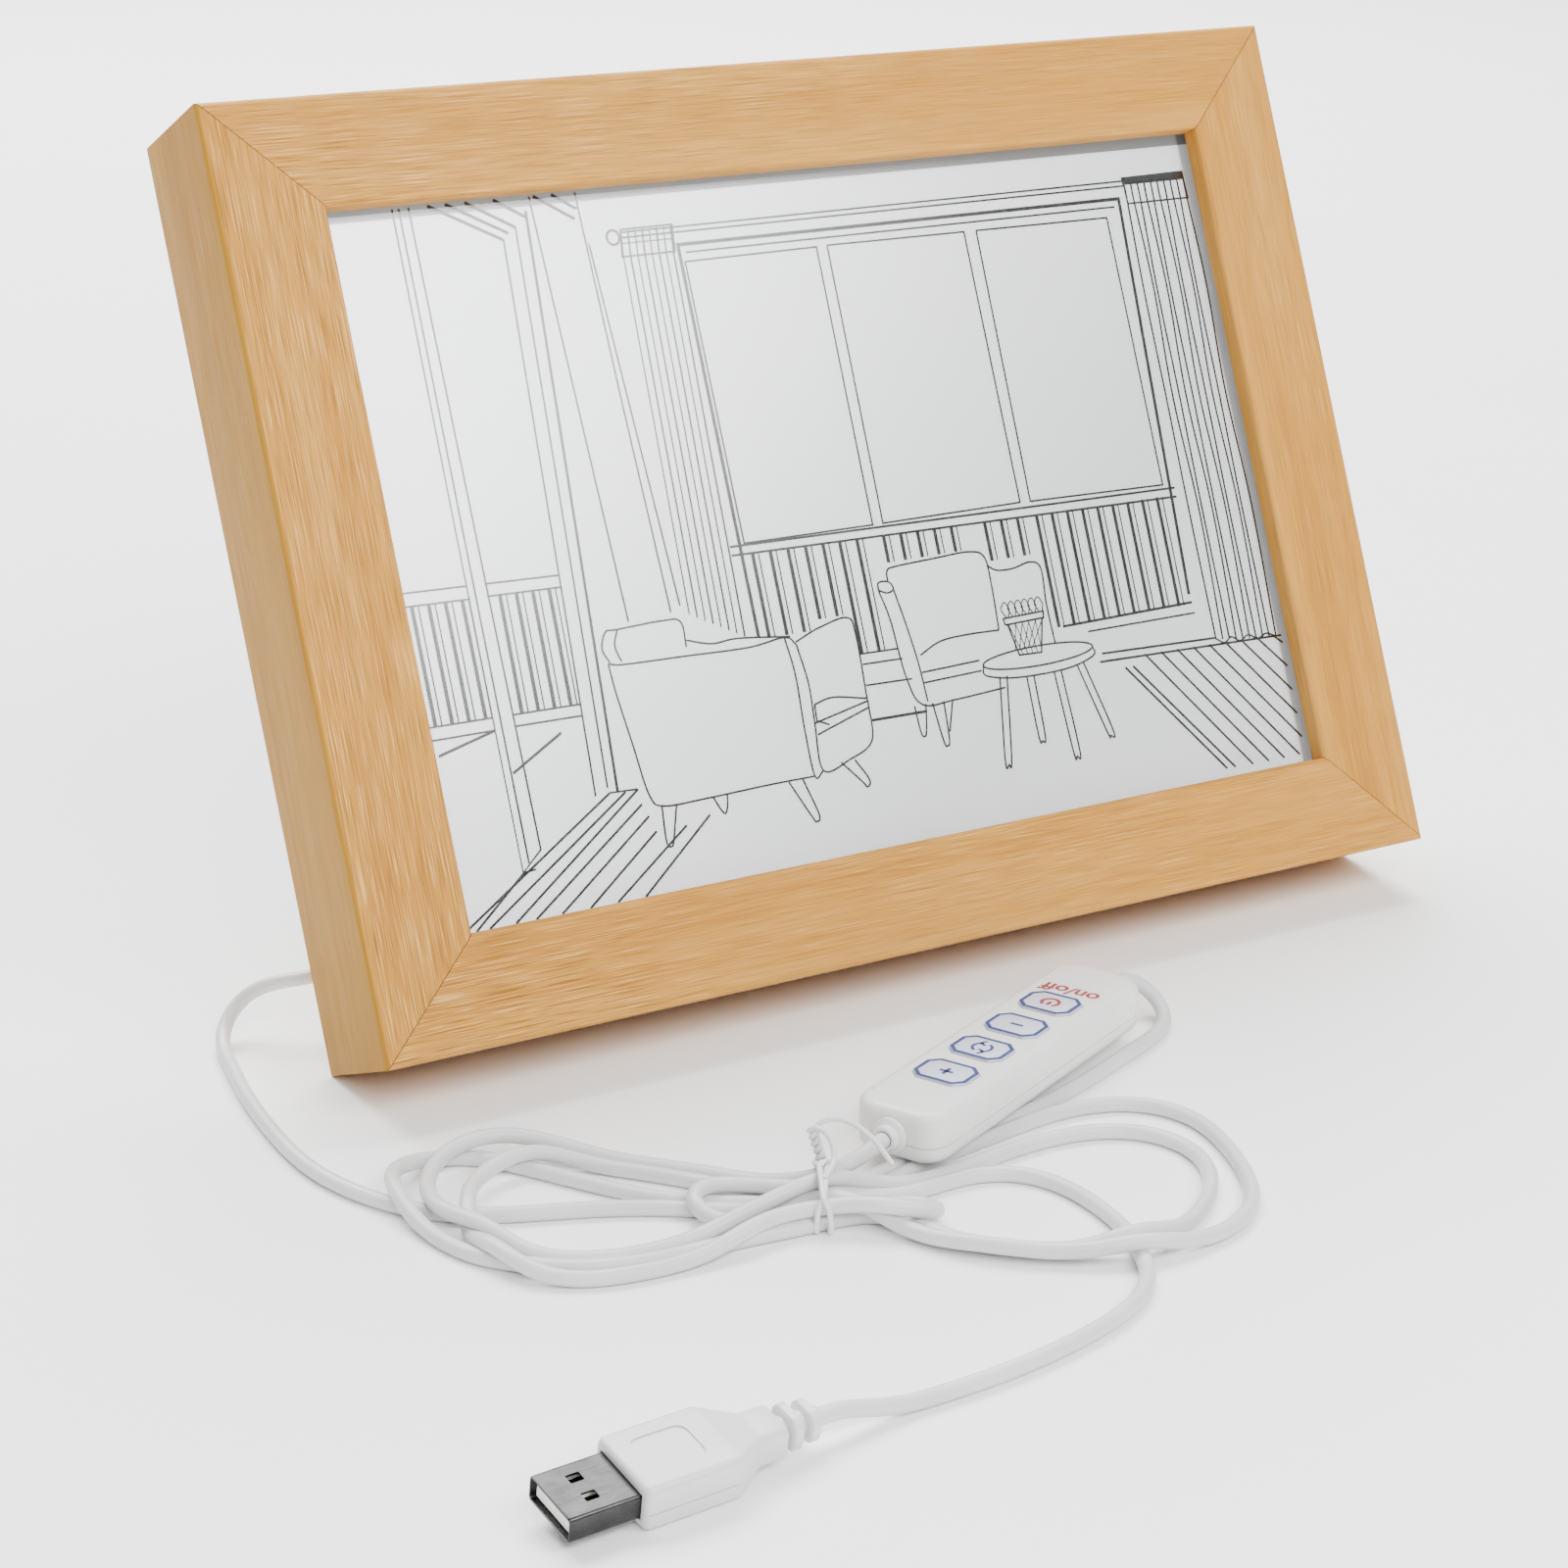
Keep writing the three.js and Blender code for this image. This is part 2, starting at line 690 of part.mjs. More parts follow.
// A box with rounded plan corners and rounded top and bottom edges, standing on z = lift.
function softBox(length, width, height, cornerRadius, edge, lift = 0) {
  const shape = roundedRectangle(length - 2 * edge, width - 2 * edge, Math.max(cornerRadius - edge, 0.4));
  return new THREE.ExtrudeGeometry(shape, {
    depth: height - 2 * edge,
    bevelEnabled: true,
    bevelThickness: edge,
    bevelSize: edge,
    bevelSegments: 3,
    curveSegments: 4,
  }).translate(0, 0, edge + lift);
}

const keyXs = key.names.map((_, i) => key.rowOffset + (i - (key.names.length - 1) / 2) * key.pitch);
const innerHeight = controller.height - 2 * controller.wall;
const controllerBody = solidOf(
  softBox(controller.length, controller.width, controller.height, controller.cornerRadius, controller.edgeRound),
);
const controllerRoom = solidOf(
  softBox(
    controller.length - 2 * controller.wall,
    controller.width - 2 * controller.wall,
    innerHeight,
    controller.cornerRadius - controller.wall,
    0.6,
    controller.wall,
  ),
);
const glandHeight = controller.height / 2;
const glandBore = solidOf(roundBar(collar.outer + gap, controller.length + 4, 18).rotateZ(Math.PI / 2)).translate(
  [0, 0, glandHeight],
);
const hollowBody = controllerBody.subtract(controllerRoom).subtract(glandBore);
const keyHoles = keyXs.map((x) =>
  solidOf(
    prism(chamferedRectangle(key.along + 2 * gap, key.across + 2 * gap, key.chamfer), controller.height).translate(
      x,
      0,
      controller.height / 2,
    ),
  ),
);
const upperBlank = keyHoles.reduce(
  (shell, hole) => shell.subtract(hole),
  hollowBody.trimByPlane([0, 0, 1], controller.partingHeight + gap),
);
piece("controller_upper_shell", geometryOf(upperBlank), finishes.whitePlastic, controllerGroup);
piece(
  "controller_lower_shell",
  geometryOf(hollowBody.trimByPlane([0, 0, -1], -controller.partingHeight)),
  finishes.whitePlastic,
  controllerGroup,
);

const circuitLength = controller.length - 2 * (controller.wall + collar.length + 2);
const circuitWidth = controller.width - 2 * (controller.wall + 1);
piece(
  "controller_board",
  prism(roundedRectangle(circuitLength, circuitWidth, 2), circuit.thickness).translate(0, 0, circuit.height),
  finishes.circuitGreen,
  controllerGroup,
);
const circuitTop = circuit.height + circuit.thickness;
const ceiling = controller.height - controller.wall;
const flangeUnderside = ceiling - gap - key.flangeHeight;
const plungerTop = flangeUnderside - key.travel - tactSwitch.slack;
key.names.forEach((name, i) => {
  const cap = prism(
    chamferedRectangle(key.along, key.across, key.chamfer),
    controller.wall + gap + key.flangeHeight + key.proud,
  ).translate(keyXs[i], 0, flangeUnderside);
  const flange = prism(
    chamferedRectangle(key.along + 2 * key.flange, key.across + 2 * key.flange, key.chamfer),
    key.flangeHeight,
  ).translate(keyXs[i], 0, flangeUnderside);
  piece(name, join(cap, flange), finishes.keyPlastic, controllerGroup);

  const housing = block(
    tactSwitch.side,
    tactSwitch.side,
    tactSwitch.height,
    keyXs[i],
    0,
    circuitTop + gap + tactSwitch.height / 2,
  );
  const plungerFoot = circuitTop + gap + tactSwitch.height / 2;
  const plunger = roundBar(tactSwitch.plunger, plungerTop - plungerFoot, 12)
    .rotateX(Math.PI / 2)
    .translate(keyXs[i], 0, (plungerTop + plungerFoot) / 2);
  piece(name.replace("key", "switch"), join(housing, plunger), finishes.blackPlastic, controllerGroup);
});

// A gland that the cord enters, with its flange held inside the shells' end wall.
function collarGeometry() {
  return turned([
    [collar.bore, -collar.length],
    [collar.flange, -collar.length],
    [collar.flange, -collar.length + collar.flangeLength],
    [collar.outer, -collar.length + collar.flangeLength],
    [collar.outer, collar.length - 1],
    [collar.outer - 0.6, collar.length],
    [collar.bore, collar.length],
    [collar.bore, -collar.length],
  ]);
}
const collarX = controller.length / 2 - 0.1;
piece(
  "controller_gland_out",
  collarGeometry().rotateZ(-Math.PI / 2).translate(collarX, 0, glandHeight),
  finishes.rubber,
  controllerGroup,
);
piece(
  "controller_gland_in",
  collarGeometry().rotateZ(Math.PI / 2).translate(-collarX, 0, glandHeight),
  finishes.rubber,
  controllerGroup,
);

// ---------------------------------------------------------------- USB plug
const plugGroup = new THREE.Group(); // X runs from the mouth towards the cord; the shell meets the body at x = 0
plugGroup.rotation.order = "ZYX";
plugGroup.rotation.z = radians(plug.yawDegrees);
plugGroup.rotation.x = radians(plug.rollDegrees);
const halfBody = plug.bodyHeight / 2;
const rollLift =
  halfBody * Math.cos(radians(plug.rollDegrees)) + (plug.bodyWidth / 2) * Math.sin(radians(plug.rollDegrees));
plugGroup.position.set(plug.at[0], plug.at[1], rollLift - plug.rollSink);
desk.add(plugGroup);

// The overmould is the common part of its plan and its side view, each drawn once.
function overmouldGeometry() {
  const { bodyLength, bodyWidth, bodyHeight, taperLength, neckLength, neckWidth, neckHeight, bevel } = plug;
  const taperEnd = bodyLength + taperLength;
  const neckEnd = taperEnd + neckLength;
  const half = bodyWidth / 2 - bevel;
  const neck = neckWidth / 2 - bevel;
  const plan = new THREE.Shape([
    new THREE.Vector2(bevel, -half),
    new THREE.Vector2(bodyLength, -half),
    new THREE.Vector2(taperEnd, -neck),
    new THREE.Vector2(neckEnd - bevel, -neck),
    new THREE.Vector2(neckEnd - bevel, neck),
    new THREE.Vector2(taperEnd, neck),
    new THREE.Vector2(bodyLength, half),
    new THREE.Vector2(bevel, half),
  ]);
  const planSolid = new THREE.ExtrudeGeometry(plan, {
    depth: bodyHeight - 2 * bevel,
    bevelEnabled: true,
    bevelThickness: bevel,
    bevelSize: bevel,
    bevelSegments: 2,
  }).translate(0, 0, -bodyHeight / 2 + bevel);
  const side = new THREE.Shape();
  side.moveTo(0, -bodyHeight / 2);
  side.lineTo(bodyLength, -bodyHeight / 2);
  side.lineTo(taperEnd, -neckHeight / 2);
  side.lineTo(neckEnd, -neckHeight / 2);
  side.lineTo(neckEnd, neckHeight / 2);
  side.lineTo(taperEnd, neckHeight / 2);
  side.lineTo(bodyLength, bodyHeight / 2);
  side.lineTo(0, bodyHeight / 2);
  const sideSolid = prism(side, bodyWidth + 2).rotateX(Math.PI / 2).translate(0, bodyWidth / 2 + 1, 0);
  return common(planSolid, sideSolid);
}

function reliefGeometries() {
  const start = plug.bodyLength + plug.taperLength + plug.neckLength;
  const pieces = [];
  const pitch = plug.ringGap + plug.ringLength;
  for (let i = 0; i < plug.ringCount; i++) {
    const shape = roundedRectangle(plug.ringHeight, plug.ringWidth, 2);
    pieces.push(
      prism(shape, plug.ringLength, 3)
        .rotateY(Math.PI / 2)
        .translate(start + plug.ringGap + i * pitch, 0, 0),
    );
  }
  const coreLength = plug.ringCount * pitch + 1;
  pieces.push(
    roundBar(plug.coreRadius, coreLength, 14)
      .rotateZ(Math.PI / 2)
      .translate(start - 1 + coreLength / 2, 0, 0),
  );
  return pieces;
}

const shellPocket = block(
  2 * plug.shellIn,
  plug.shellWidth + 2 * gap,
  plug.shellHeight + 2 * gap,
);
piece(
  "plug_overmould",
  cut(join(overmouldGeometry(), ...reliefGeometries()), shellPocket),
  finishes.whitePlastic,
  plugGroup,
);

function shellGeometry() {
  const { shellWidth, shellHeight, shellWall, shellRound, shellOut, shellIn } = plug;
  const outline = roundedRectangle(shellHeight, shellWidth, shellRound);
  const inner = roundedRectangle(shellHeight - 2 * shellWall, shellWidth - 2 * shellWall, shellRound - shellWall);
  outline.holes.push(new THREE.Path(inner.getPoints(3).reverse()));
  const tubeShell = prism(outline, shellOut + shellIn - gap, 3)
    .rotateY(Math.PI / 2)
    .translate(-shellOut, 0, 0);
  const windows = [-1, 1].map((side) => block(2.4, 2, 3 * shellHeight, -shellOut + 5.6, side * 2.3, 0));
  return cut(tubeShell, ...windows);
}
piece("plug_shell", shellGeometry(), finishes.steel, plugGroup);

const tongueWidth = plug.shellWidth - 2 * (plug.shellWall + gap);
const tongueFloor = -plug.shellHeight / 2 + plug.shellWall + gap;
piece(
  "plug_tongue",
  block(
    plug.tongueLength,
    tongueWidth,
    plug.tongueHeight,
    -plug.shellOut + 1 + plug.tongueLength / 2,
    0,
    tongueFloor + plug.tongueHeight / 2,
  ),
  finishes.paper,
  plugGroup,
);
for (let i = 0; i < 4; i++) {
  const isOuter = i === 0 || i === 3;
  const length = isOuter ? 8 : 7;
  piece(
    `plug_contact_${i + 1}`,
    block(
      length,
      plug.contactWidth,
      0.2,
      -plug.shellOut + 1.6 + (isOuter ? 0 : 1) + length / 2,
      (i - 1.5) * plug.contactPitch,
      tongueFloor + plug.tongueHeight + 0.15,
    ),
    finishes.gold,
    plugGroup,
  );
}

// ---------------------------------------------------------------- cord, hank and tie
function lobe({ at, reach, half, yawDegrees }) {
  const shape = new THREE.Shape().absellipse(0, 0, reach, half, 0, 2 * Math.PI, false, radians(yawDegrees));
  return prism(shape, hank.height, 18).translate(at[0], at[1], 0);
}

function tieLoopPoints() {
  const points = [];
  const count = 20;
  const start = Math.PI * 0.62;
  for (let i = 0; i <= count; i++) {
    const angle = start + (2 * Math.PI * i) / count;
    const flatten = (value) => Math.sign(value) * Math.abs(value) ** 0.7;
    points.push([
      ((i / count) - 0.5) * 2.4 * tie.wire,
      tie.halfWidth * flatten(Math.cos(angle)),
      tie.wire + 0.1 + tie.halfHeight + tie.halfHeight * flatten(Math.sin(angle)),
    ]);
  }
  return points;
}

function onDesk(geometry, { at, yawDegrees }) {
  return geometry.rotateZ(radians(yawDegrees)).translate(at[0], at[1], 0);
}

// The controller lies in a shallow seat in the hank, and the inlet in a groove that leads to it.
const glandEnd = collarX + collar.length;
function controllerSeat() {
  return block(2 * glandEnd + 2 * gap, controller.width + 2 * gap, 30, 0, 0, 15 - gap);
}
function inletGroove() {
  const width = 2 * (cord.radius + gap);
  const length = inlet.length + 2 * gap;
  const floor = glandHeight - inlet.drop - cord.radius - gap;
  return block(length, width, 30, -glandEnd - gap - length / 2, 0, floor + 15);
}
function onController(geometry) {
  controllerGroup.updateMatrix();
  return geometry.applyMatrix4(controllerGroup.matrix);
}

const waist = block(hank.waistLength, hank.waistWidth, hank.height, 0, 0, hank.height / 2);
piece(
  "cord_hank",
  cut(
    join(lobe(hank.left), lobe(hank.right), onDesk(waist, tie)),
    onController(controllerSeat()),
    onController(inletGroove()),
    onDesk(tube(tieLoopPoints(), tie.wire + 2 * gap, 2, 6), tie),
  ),
  finishes.cord,
  desk,
);

// The tie's two ends are twisted together on top, and one of them arches away.
function tieGeometry() {
  const loop = tube(tieLoopPoints(), tie.wire, 2, 6);
  const twist = [];
  const top = 2 * tie.halfHeight + 1.2;
  const count = 5 * tie.knotTurns;
  for (let i = 0; i <= count; i++) {
    const angle = (2 * Math.PI * tie.knotTurns * i) / count;
    const rise = top - 1 + (5 * i) / count;
    twist.push([1.1 * Math.cos(angle), -3.4 + 1.1 * Math.sin(angle), rise]);
  }
  const [lastX, lastY, lastZ] = twist[twist.length - 1];
  const tail = [
    [lastX, lastY, lastZ],
    [lastX + 3, lastY - 0.6, lastZ + 1.6],
    [lastX + 7.5, lastY - 1.6, lastZ + 0.4],
    [lastX + 11.5, lastY - 2.4, lastZ - 3],
  ];
  return join(loop, tube(twist, tie.wire, 1.4, 6), tube(tail, tie.wire, 2, 6));
}
piece("twist_tie", onDesk(tieGeometry(), tie), finishes.whitePlastic, desk);

for (const [name, points] of Object.entries(cordRoutes)) {
  piece(name, tube(points, cord.radius, cord.step), finishes.cord, desk);
}

const inletNear = -glandEnd - gap;
piece(
  "cord_inlet",
  tube(
    [
      [inletNear - inlet.length, 0, glandHeight - inlet.drop],
      [inletNear - inlet.length / 2, 0, glandHeight - inlet.drop * 0.6],
      [inletNear, 0, glandHeight],
    ],
    cord.radius,
    cord.step / 2,
  ),
  finishes.cord,
  controllerGroup,
);

// ---------------------------------------------------------------- the whole, centred on its base
const lightBox = new THREE.Group();
lightBox.name = "light_box";
lightBox.add(standing, desk);
lightBox.updateMatrixWorld(true);
const footprint = new THREE.Box3().setFromObject(standing, true);
lightBox.position.set(0, -(footprint.min.y + footprint.max.y) / 2, -footprint.min.z);

export default lightBox;
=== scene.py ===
"""Looks of a framed light box.

Oak-look mouldings hold a line drawing on a film with a painted glow, behind a clear pane. A tied power lead with a
four-key dimmer feeds it.
"""

import json
import logging
import math
from dataclasses import dataclass, field
from enum import Enum
from typing import Callable, Optional, Sequence

import bmesh
import bpy
import numpy as np
from mathutils import Matrix, Vector
from mathutils.geometry import convex_hull_2d

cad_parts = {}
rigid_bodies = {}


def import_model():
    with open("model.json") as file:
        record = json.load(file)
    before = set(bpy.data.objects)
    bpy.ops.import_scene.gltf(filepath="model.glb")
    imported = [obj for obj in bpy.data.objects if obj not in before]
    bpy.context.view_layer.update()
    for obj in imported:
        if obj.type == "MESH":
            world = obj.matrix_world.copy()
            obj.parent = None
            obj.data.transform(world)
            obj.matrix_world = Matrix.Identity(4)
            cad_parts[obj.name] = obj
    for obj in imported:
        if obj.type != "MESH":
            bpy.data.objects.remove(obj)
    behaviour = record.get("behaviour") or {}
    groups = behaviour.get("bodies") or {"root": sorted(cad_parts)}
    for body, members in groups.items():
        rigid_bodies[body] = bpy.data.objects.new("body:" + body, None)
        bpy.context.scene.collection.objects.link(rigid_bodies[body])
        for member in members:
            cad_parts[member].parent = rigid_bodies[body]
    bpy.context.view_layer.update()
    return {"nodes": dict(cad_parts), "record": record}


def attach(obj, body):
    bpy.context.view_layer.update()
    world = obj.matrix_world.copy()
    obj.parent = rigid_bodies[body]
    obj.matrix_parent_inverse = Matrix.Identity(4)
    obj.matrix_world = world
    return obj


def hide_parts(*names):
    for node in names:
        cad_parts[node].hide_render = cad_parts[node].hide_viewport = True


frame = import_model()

MM = 0.001
Point = tuple[float, float, float]

logging.basicConfig(level=logging.INFO, format="%(message)s")
log = logging.getLogger("light_box")


# ------------------------------------------------------------------ places
STANDING_EDGE = next(m["pos_m"] for m in frame["record"]["mounts"] if m["name"] == "standing_edge")
LEAN = math.radians(23.4)
STANDING = Matrix.Translation(STANDING_EDGE) @ Matrix.Rotation(-LEAN, 4, "X")
DESK = Matrix.Translation(STANDING_EDGE)


class Body(Enum):
    """The rigid bodies that pieces ride on."""

    BOX = "light_box"
    LEG = "leg"


# ------------------------------------------------------------------ colours and nodes
def linear(hex_colour: str, alpha: float = 1.0) -> tuple[float, float, float, float]:
    """Turns an sRGB hex colour into the linear colour that shaders take.

    Args:
        hex_colour: six hex digits, such as "D8B07C".
        alpha: opacity.

    Returns:
        Red, green, blue and alpha.
    """
    values = [int(hex_colour[i : i + 2], 16) / 255 for i in (0, 2, 4)]
    rgb = [v / 12.92 if v <= 0.04045 else ((v + 0.055) / 1.055) ** 2.4 for v in values]
    return (*rgb, alpha)


def add_node(tree: bpy.types.NodeTree, kind: str, settings: Optional[dict] = None, **inputs) -> bpy.types.Node:
    """Adds a node, sets it up and links its inputs.

    Args:
        tree: the material's node tree.
        kind: the node's class, without "ShaderNode".
        settings: attributes of the node.
        inputs: socket values or output sockets, by socket name with _ for a blank, or i0, i1 ... by number.

    Returns:
        The new node.
    """
    node = tree.nodes.new("ShaderNode" + kind)
    for name, value in (settings or {}).items():
        setattr(node, name, value)
    for name, value in inputs.items():
        by_number = name[0] == "i" and name[1:].isdigit()
        socket = node.inputs[int(name[1:]) if by_number else name.replace("_", " ")]
        if isinstance(value, bpy.types.NodeSocket):
            tree.links.new(value, socket)
        else:
            socket.default_value = value
    return node


def ramp(
    tree: bpy.types.NodeTree, factor: bpy.types.NodeSocket, stops: Sequence[tuple[float, tuple]]
) -> bpy.types.NodeSocket:
    """Maps a factor through colour stops.

    Args:
        tree: the material's node tree.
        factor: the socket that drives it.
        stops: (position, colour) pairs, in order.

    Returns:
        The colour output.
    """
    node = add_node(tree, "ValToRGB", Fac=factor)
    elements = node.color_ramp.elements
    while len(elements) < len(stops):
        elements.new(0.5)
    for element, (position, colour) in zip(elements, stops):
        element.position = position
        element.color = colour
    return node.outputs["Color"]


def grey(value: float) -> tuple[float, float, float, float]:
    """A neutral linear colour."""
    return (value, value, value, 1.0)


def blank_material(name: str) -> tuple[bpy.types.Material, bpy.types.NodeTree, bpy.types.Node]:
    """Starts a material with one principled shader.

    Args:
        name: the material's name.

    Returns:
        The material, its tree and its shader.
    """
    material = bpy.data.materials.new(name)
    material.use_nodes = True
    tree = material.node_tree
    tree.nodes.clear()
    shader = add_node(tree, "BsdfPrincipled")
    add_node(tree, "OutputMaterial", Surface=shader.outputs["BSDF"])
    return material, tree, shader


def place_on(
    tree: bpy.types.NodeTree, turn: Point = (0, 0, 0), scale: Point = (1, 1, 1)
) -> bpy.types.NodeSocket:
    """Object coordinates in metres, turned and then stretched.

    Args:
        tree: the material's node tree.
        turn: rotation about X, Y and Z, in radians.
        scale: stretch along each turned axis.

    Returns:
        The vector output.
    """
    where = add_node(tree, "TexCoord").outputs["Object"]
    turned = add_node(tree, "Mapping", {"vector_type": "POINT"}, Vector=where, Rotation=turn).outputs["Vector"]
    return add_node(tree, "Mapping", {"vector_type": "POINT"}, Vector=turned, Scale=scale).outputs["Vector"]


# ------------------------------------------------------------------ finishes
class Grain(Enum):
    """Which way a length of moulding runs: along the sill or up the lean."""

    ALONG = "along"
    UP = "up"


@dataclass(frozen=True)
class OakFoil:
    """Oak-look paper foil, printed, embossed and wrapped round MDF.

    The eye sees a satin golden face with soft bands, fine fibre and open dashes of pore with painted highlights, pale
    dashes beside them; both fade to the right as a painted light falloff. The outer side is a plainer run of foil,
    tinted darker and yellower as painted shade.
    """

    grain: Grain
    light: str = "C99245"
    middle: str = "C08737"
    dark: str = "B4792C"
    pore: str = "6B4014"
    # Pale colour painted beside the pores: painted highlights standing for the glints that raking light gives them.
    pore_glint: str = "ECC07A"
    # Multiplies the outer side darker and yellower: painted shade on the outer side.
    side_shade_tint: str = "DCE09C"
    band_mm: float = 9.0
    fibre_mm: float = 0.5
    # Wide enough for the pores to show in a view of the whole frame.
    pore_mm: float = 0.24
    pore_length_mm: float = 13.0
    side_at_m: float = 0.1244

    def make(self) -> bpy.types.Material:
        """Builds the material.

        Returns:
            The material.
        """
        material, tree, shader = blank_material(f"oak_foil_embossed_{self.grain.value}")
        turn = (LEAN, 0, 0)
        stretch = (0, 1, 2) if self.grain is Grain.ALONG else (2, 1, 0)

        def vector(across_mm: float, along_mm: float) -> bpy.types.NodeSocket:
            """Coordinates in which a pattern's unit is that many millimetres across and along the grain."""
            sizes = [along_mm, across_mm, across_mm]
            scale = tuple(1000 / sizes[stretch[i]] for i in range(3))
            return place_on(tree, turn, scale)

        bands = add_node(
            tree, "TexNoise", Vector=vector(self.band_mm, 160), Scale=1.0, Detail=3.0, Roughness=0.55,
            Distortion=0.6
        )
        fibres = add_node(
            tree, "TexNoise", Vector=vector(self.fibre_mm, 45), Scale=1.0, Detail=4.0, Roughness=0.65
        )
        pores = add_node(
            tree, "TexNoise", Vector=vector(self.pore_mm, self.pore_length_mm), Scale=1.0, Detail=1.5,
            Roughness=0.5
        )
        patches = add_node(tree, "TexNoise", Vector=vector(30, 90), Scale=1.0, Detail=2.0)
        base = ramp(
            tree,
            bands.outputs["Fac"],
            [(0.28, linear(self.dark)), (0.48, linear(self.middle)), (0.72, linear(self.light))],
        )
        streak = ramp(tree, fibres.outputs["Fac"], [(0.3, grey(0.88)), (0.7, grey(1.06))])
        streaked = add_node(
            tree, "Mix", {"data_type": "RGBA", "blend_type": "MULTIPLY"}, i0=1.0, i6=base, i7=streak
        ).outputs[2]
        pore_mask = ramp(tree, pores.outputs["Fac"], [(0.56, grey(0)), (0.66, grey(1))])
        patchy = ramp(tree, patches.outputs["Fac"], [(0.35, grey(0.25)), (0.65, grey(0.62))])
        along = add_node(tree, "SeparateXYZ", Vector=place_on(tree)).outputs["X"]
        side = add_node(tree, "Math", {"operation": "ABSOLUTE"}, i0=along).outputs[0]
        on_front = add_node(
            tree, "MapRange", i0=side, i1=self.side_at_m - 0.0004, i2=self.side_at_m + 0.0003, i3=1.0, i4=0.0
        ).outputs[0]
        # Painted light falloff: pores and their painted highlights fade towards the right. The patches are the foil's
        # own.
        raking_light_falloff = add_node(tree, "MapRange", i0=along, i1=-0.08, i2=0.1, i3=1.0, i4=0.4).outputs[0]
        patches_and_painted_falloff = add_node(tree, "Math", {"operation": "MULTIPLY"}, i0=patchy, i1=raking_light_falloff).outputs[0]
        patches_and_painted_falloff = add_node(tree, "Math", {"operation": "MULTIPLY"}, i0=patches_and_painted_falloff, i1=on_front).outputs[0]
        figure = add_node(tree, "TexNoise", Vector=vector(3.2, 60), Scale=1.0, Detail=1.0, Distortion=0.9)
        rings = ramp(tree, figure.outputs["Fac"], [(0.44, grey(1)), (0.49, grey(0.92)), (0.54, grey(1))])
        fibred = add_node(
            tree, "Mix", {"data_type": "RGBA", "blend_type": "MULTIPLY"}, i0=1.0, i6=streaked, i7=rings
        ).outputs[2]
        pore_amount = add_node(tree, "Math", {"operation": "MULTIPLY"}, i0=pore_mask, i1=patches_and_painted_falloff).outputs[0]
        pored = add_node(
            tree, "Mix", {"data_type": "RGBA"}, i0=pore_amount, i6=fibred, i7=linear(self.pore)
        ).outputs[2]
        # Painted highlights: pale dashes laid beside the pores.
        pore_glint_mask = ramp(tree, pores.outputs["Fac"], [(0.36, grey(0.9)), (0.43, grey(0))])
        pore_glint_amount = add_node(tree, "Math", {"operation": "MULTIPLY"}, i0=pore_glint_mask, i1=patches_and_painted_falloff).outputs[0]
        glinted = add_node(
            tree, "Mix", {"data_type": "RGBA"}, i0=pore_glint_amount, i6=pored, i7=linear(self.pore_glint)
        ).outputs[2]
        # Painted shade: the plainer outer side, multiplied darker and yellower.
        edge = add_node(
            tree, "Mix", {"data_type": "RGBA", "blend_type": "MULTIPLY"}, i0=1.0, i6=streaked,
            i7=linear(self.side_shade_tint)
        ).outputs[2]
        faced = add_node(tree, "Mix", {"data_type": "RGBA"}, i0=on_front, i6=edge, i7=glinted).outputs[2]
        tree.links.new(faced, shader.inputs["Base Color"])
        rough = ramp(tree, pores.outputs["Fac"], [(0.4, grey(0.42)), (0.7, grey(0.62))])
        tree.links.new(rough, shader.inputs["Roughness"])
        depth = add_node(
            tree, "Math", {"operation": "MULTIPLY_ADD"}, i0=pore_mask, i1=-1.0, i2=fibres.outputs["Fac"]
        ).outputs[0]
        bump = add_node(tree, "Bump", Strength=0.55, Distance=0.00012, Height=depth)
        tree.links.new(bump.outputs["Normal"], shader.inputs["Normal"])
        shader.inputs["IOR"].default_value = 1.5
        shader.inputs["Specular IOR Level"].default_value = 0.1
        return material


@dataclass(frozen=True)
class Moulded:
    """Injection-moulded or extruded plastic.

    The eye sees one even colour with faint flow clouding, and a fine spark-eroded skin that softens highlights.
    """

    name: str
    colour: str
    shade: str
    roughness: float = 0.38
    ior: float = 1.54
    skin_mm: float = 0.25
    skin: float = 0.05
    subsurface: float = 0.0
    cloud_mm: float = 14.0

    def make(self) -> bpy.types.Material:
        """Builds the material.

        Returns:
            The material.
        """
        material, tree, shader = blank_material(self.name)
        where = place_on(tree)
        clouds = add_node(tree, "TexNoise", Vector=where, Scale=1000 / self.cloud_mm, Detail=2.0)
        skin = add_node(tree, "TexNoise", Vector=where, Scale=1000 / self.skin_mm, Detail=2.0)
        colour = ramp(tree, clouds.outputs["Fac"], [(0.3, linear(self.shade)), (0.7, linear(self.colour))])
        tree.links.new(colour, shader.inputs["Base Color"])
        low, high = self.roughness * 0.88, self.roughness * 1.12
        tree.links.new(
            ramp(tree, clouds.outputs["Fac"], [(0.3, grey(high)), (0.7, grey(low))]), shader.inputs["Roughness"]
        )
        bump = add_node(tree, "Bump", Strength=self.skin, Distance=0.00005, Height=skin.outputs["Fac"])
        tree.links.new(bump.outputs["Normal"], shader.inputs["Normal"])
        shader.inputs["IOR"].default_value = self.ior
        if self.subsurface:
            shader.inputs["Subsurface Weight"].default_value = self.subsurface
            shader.inputs["Subsurface Radius"].default_value = (0.002, 0.002, 0.002)
        return material


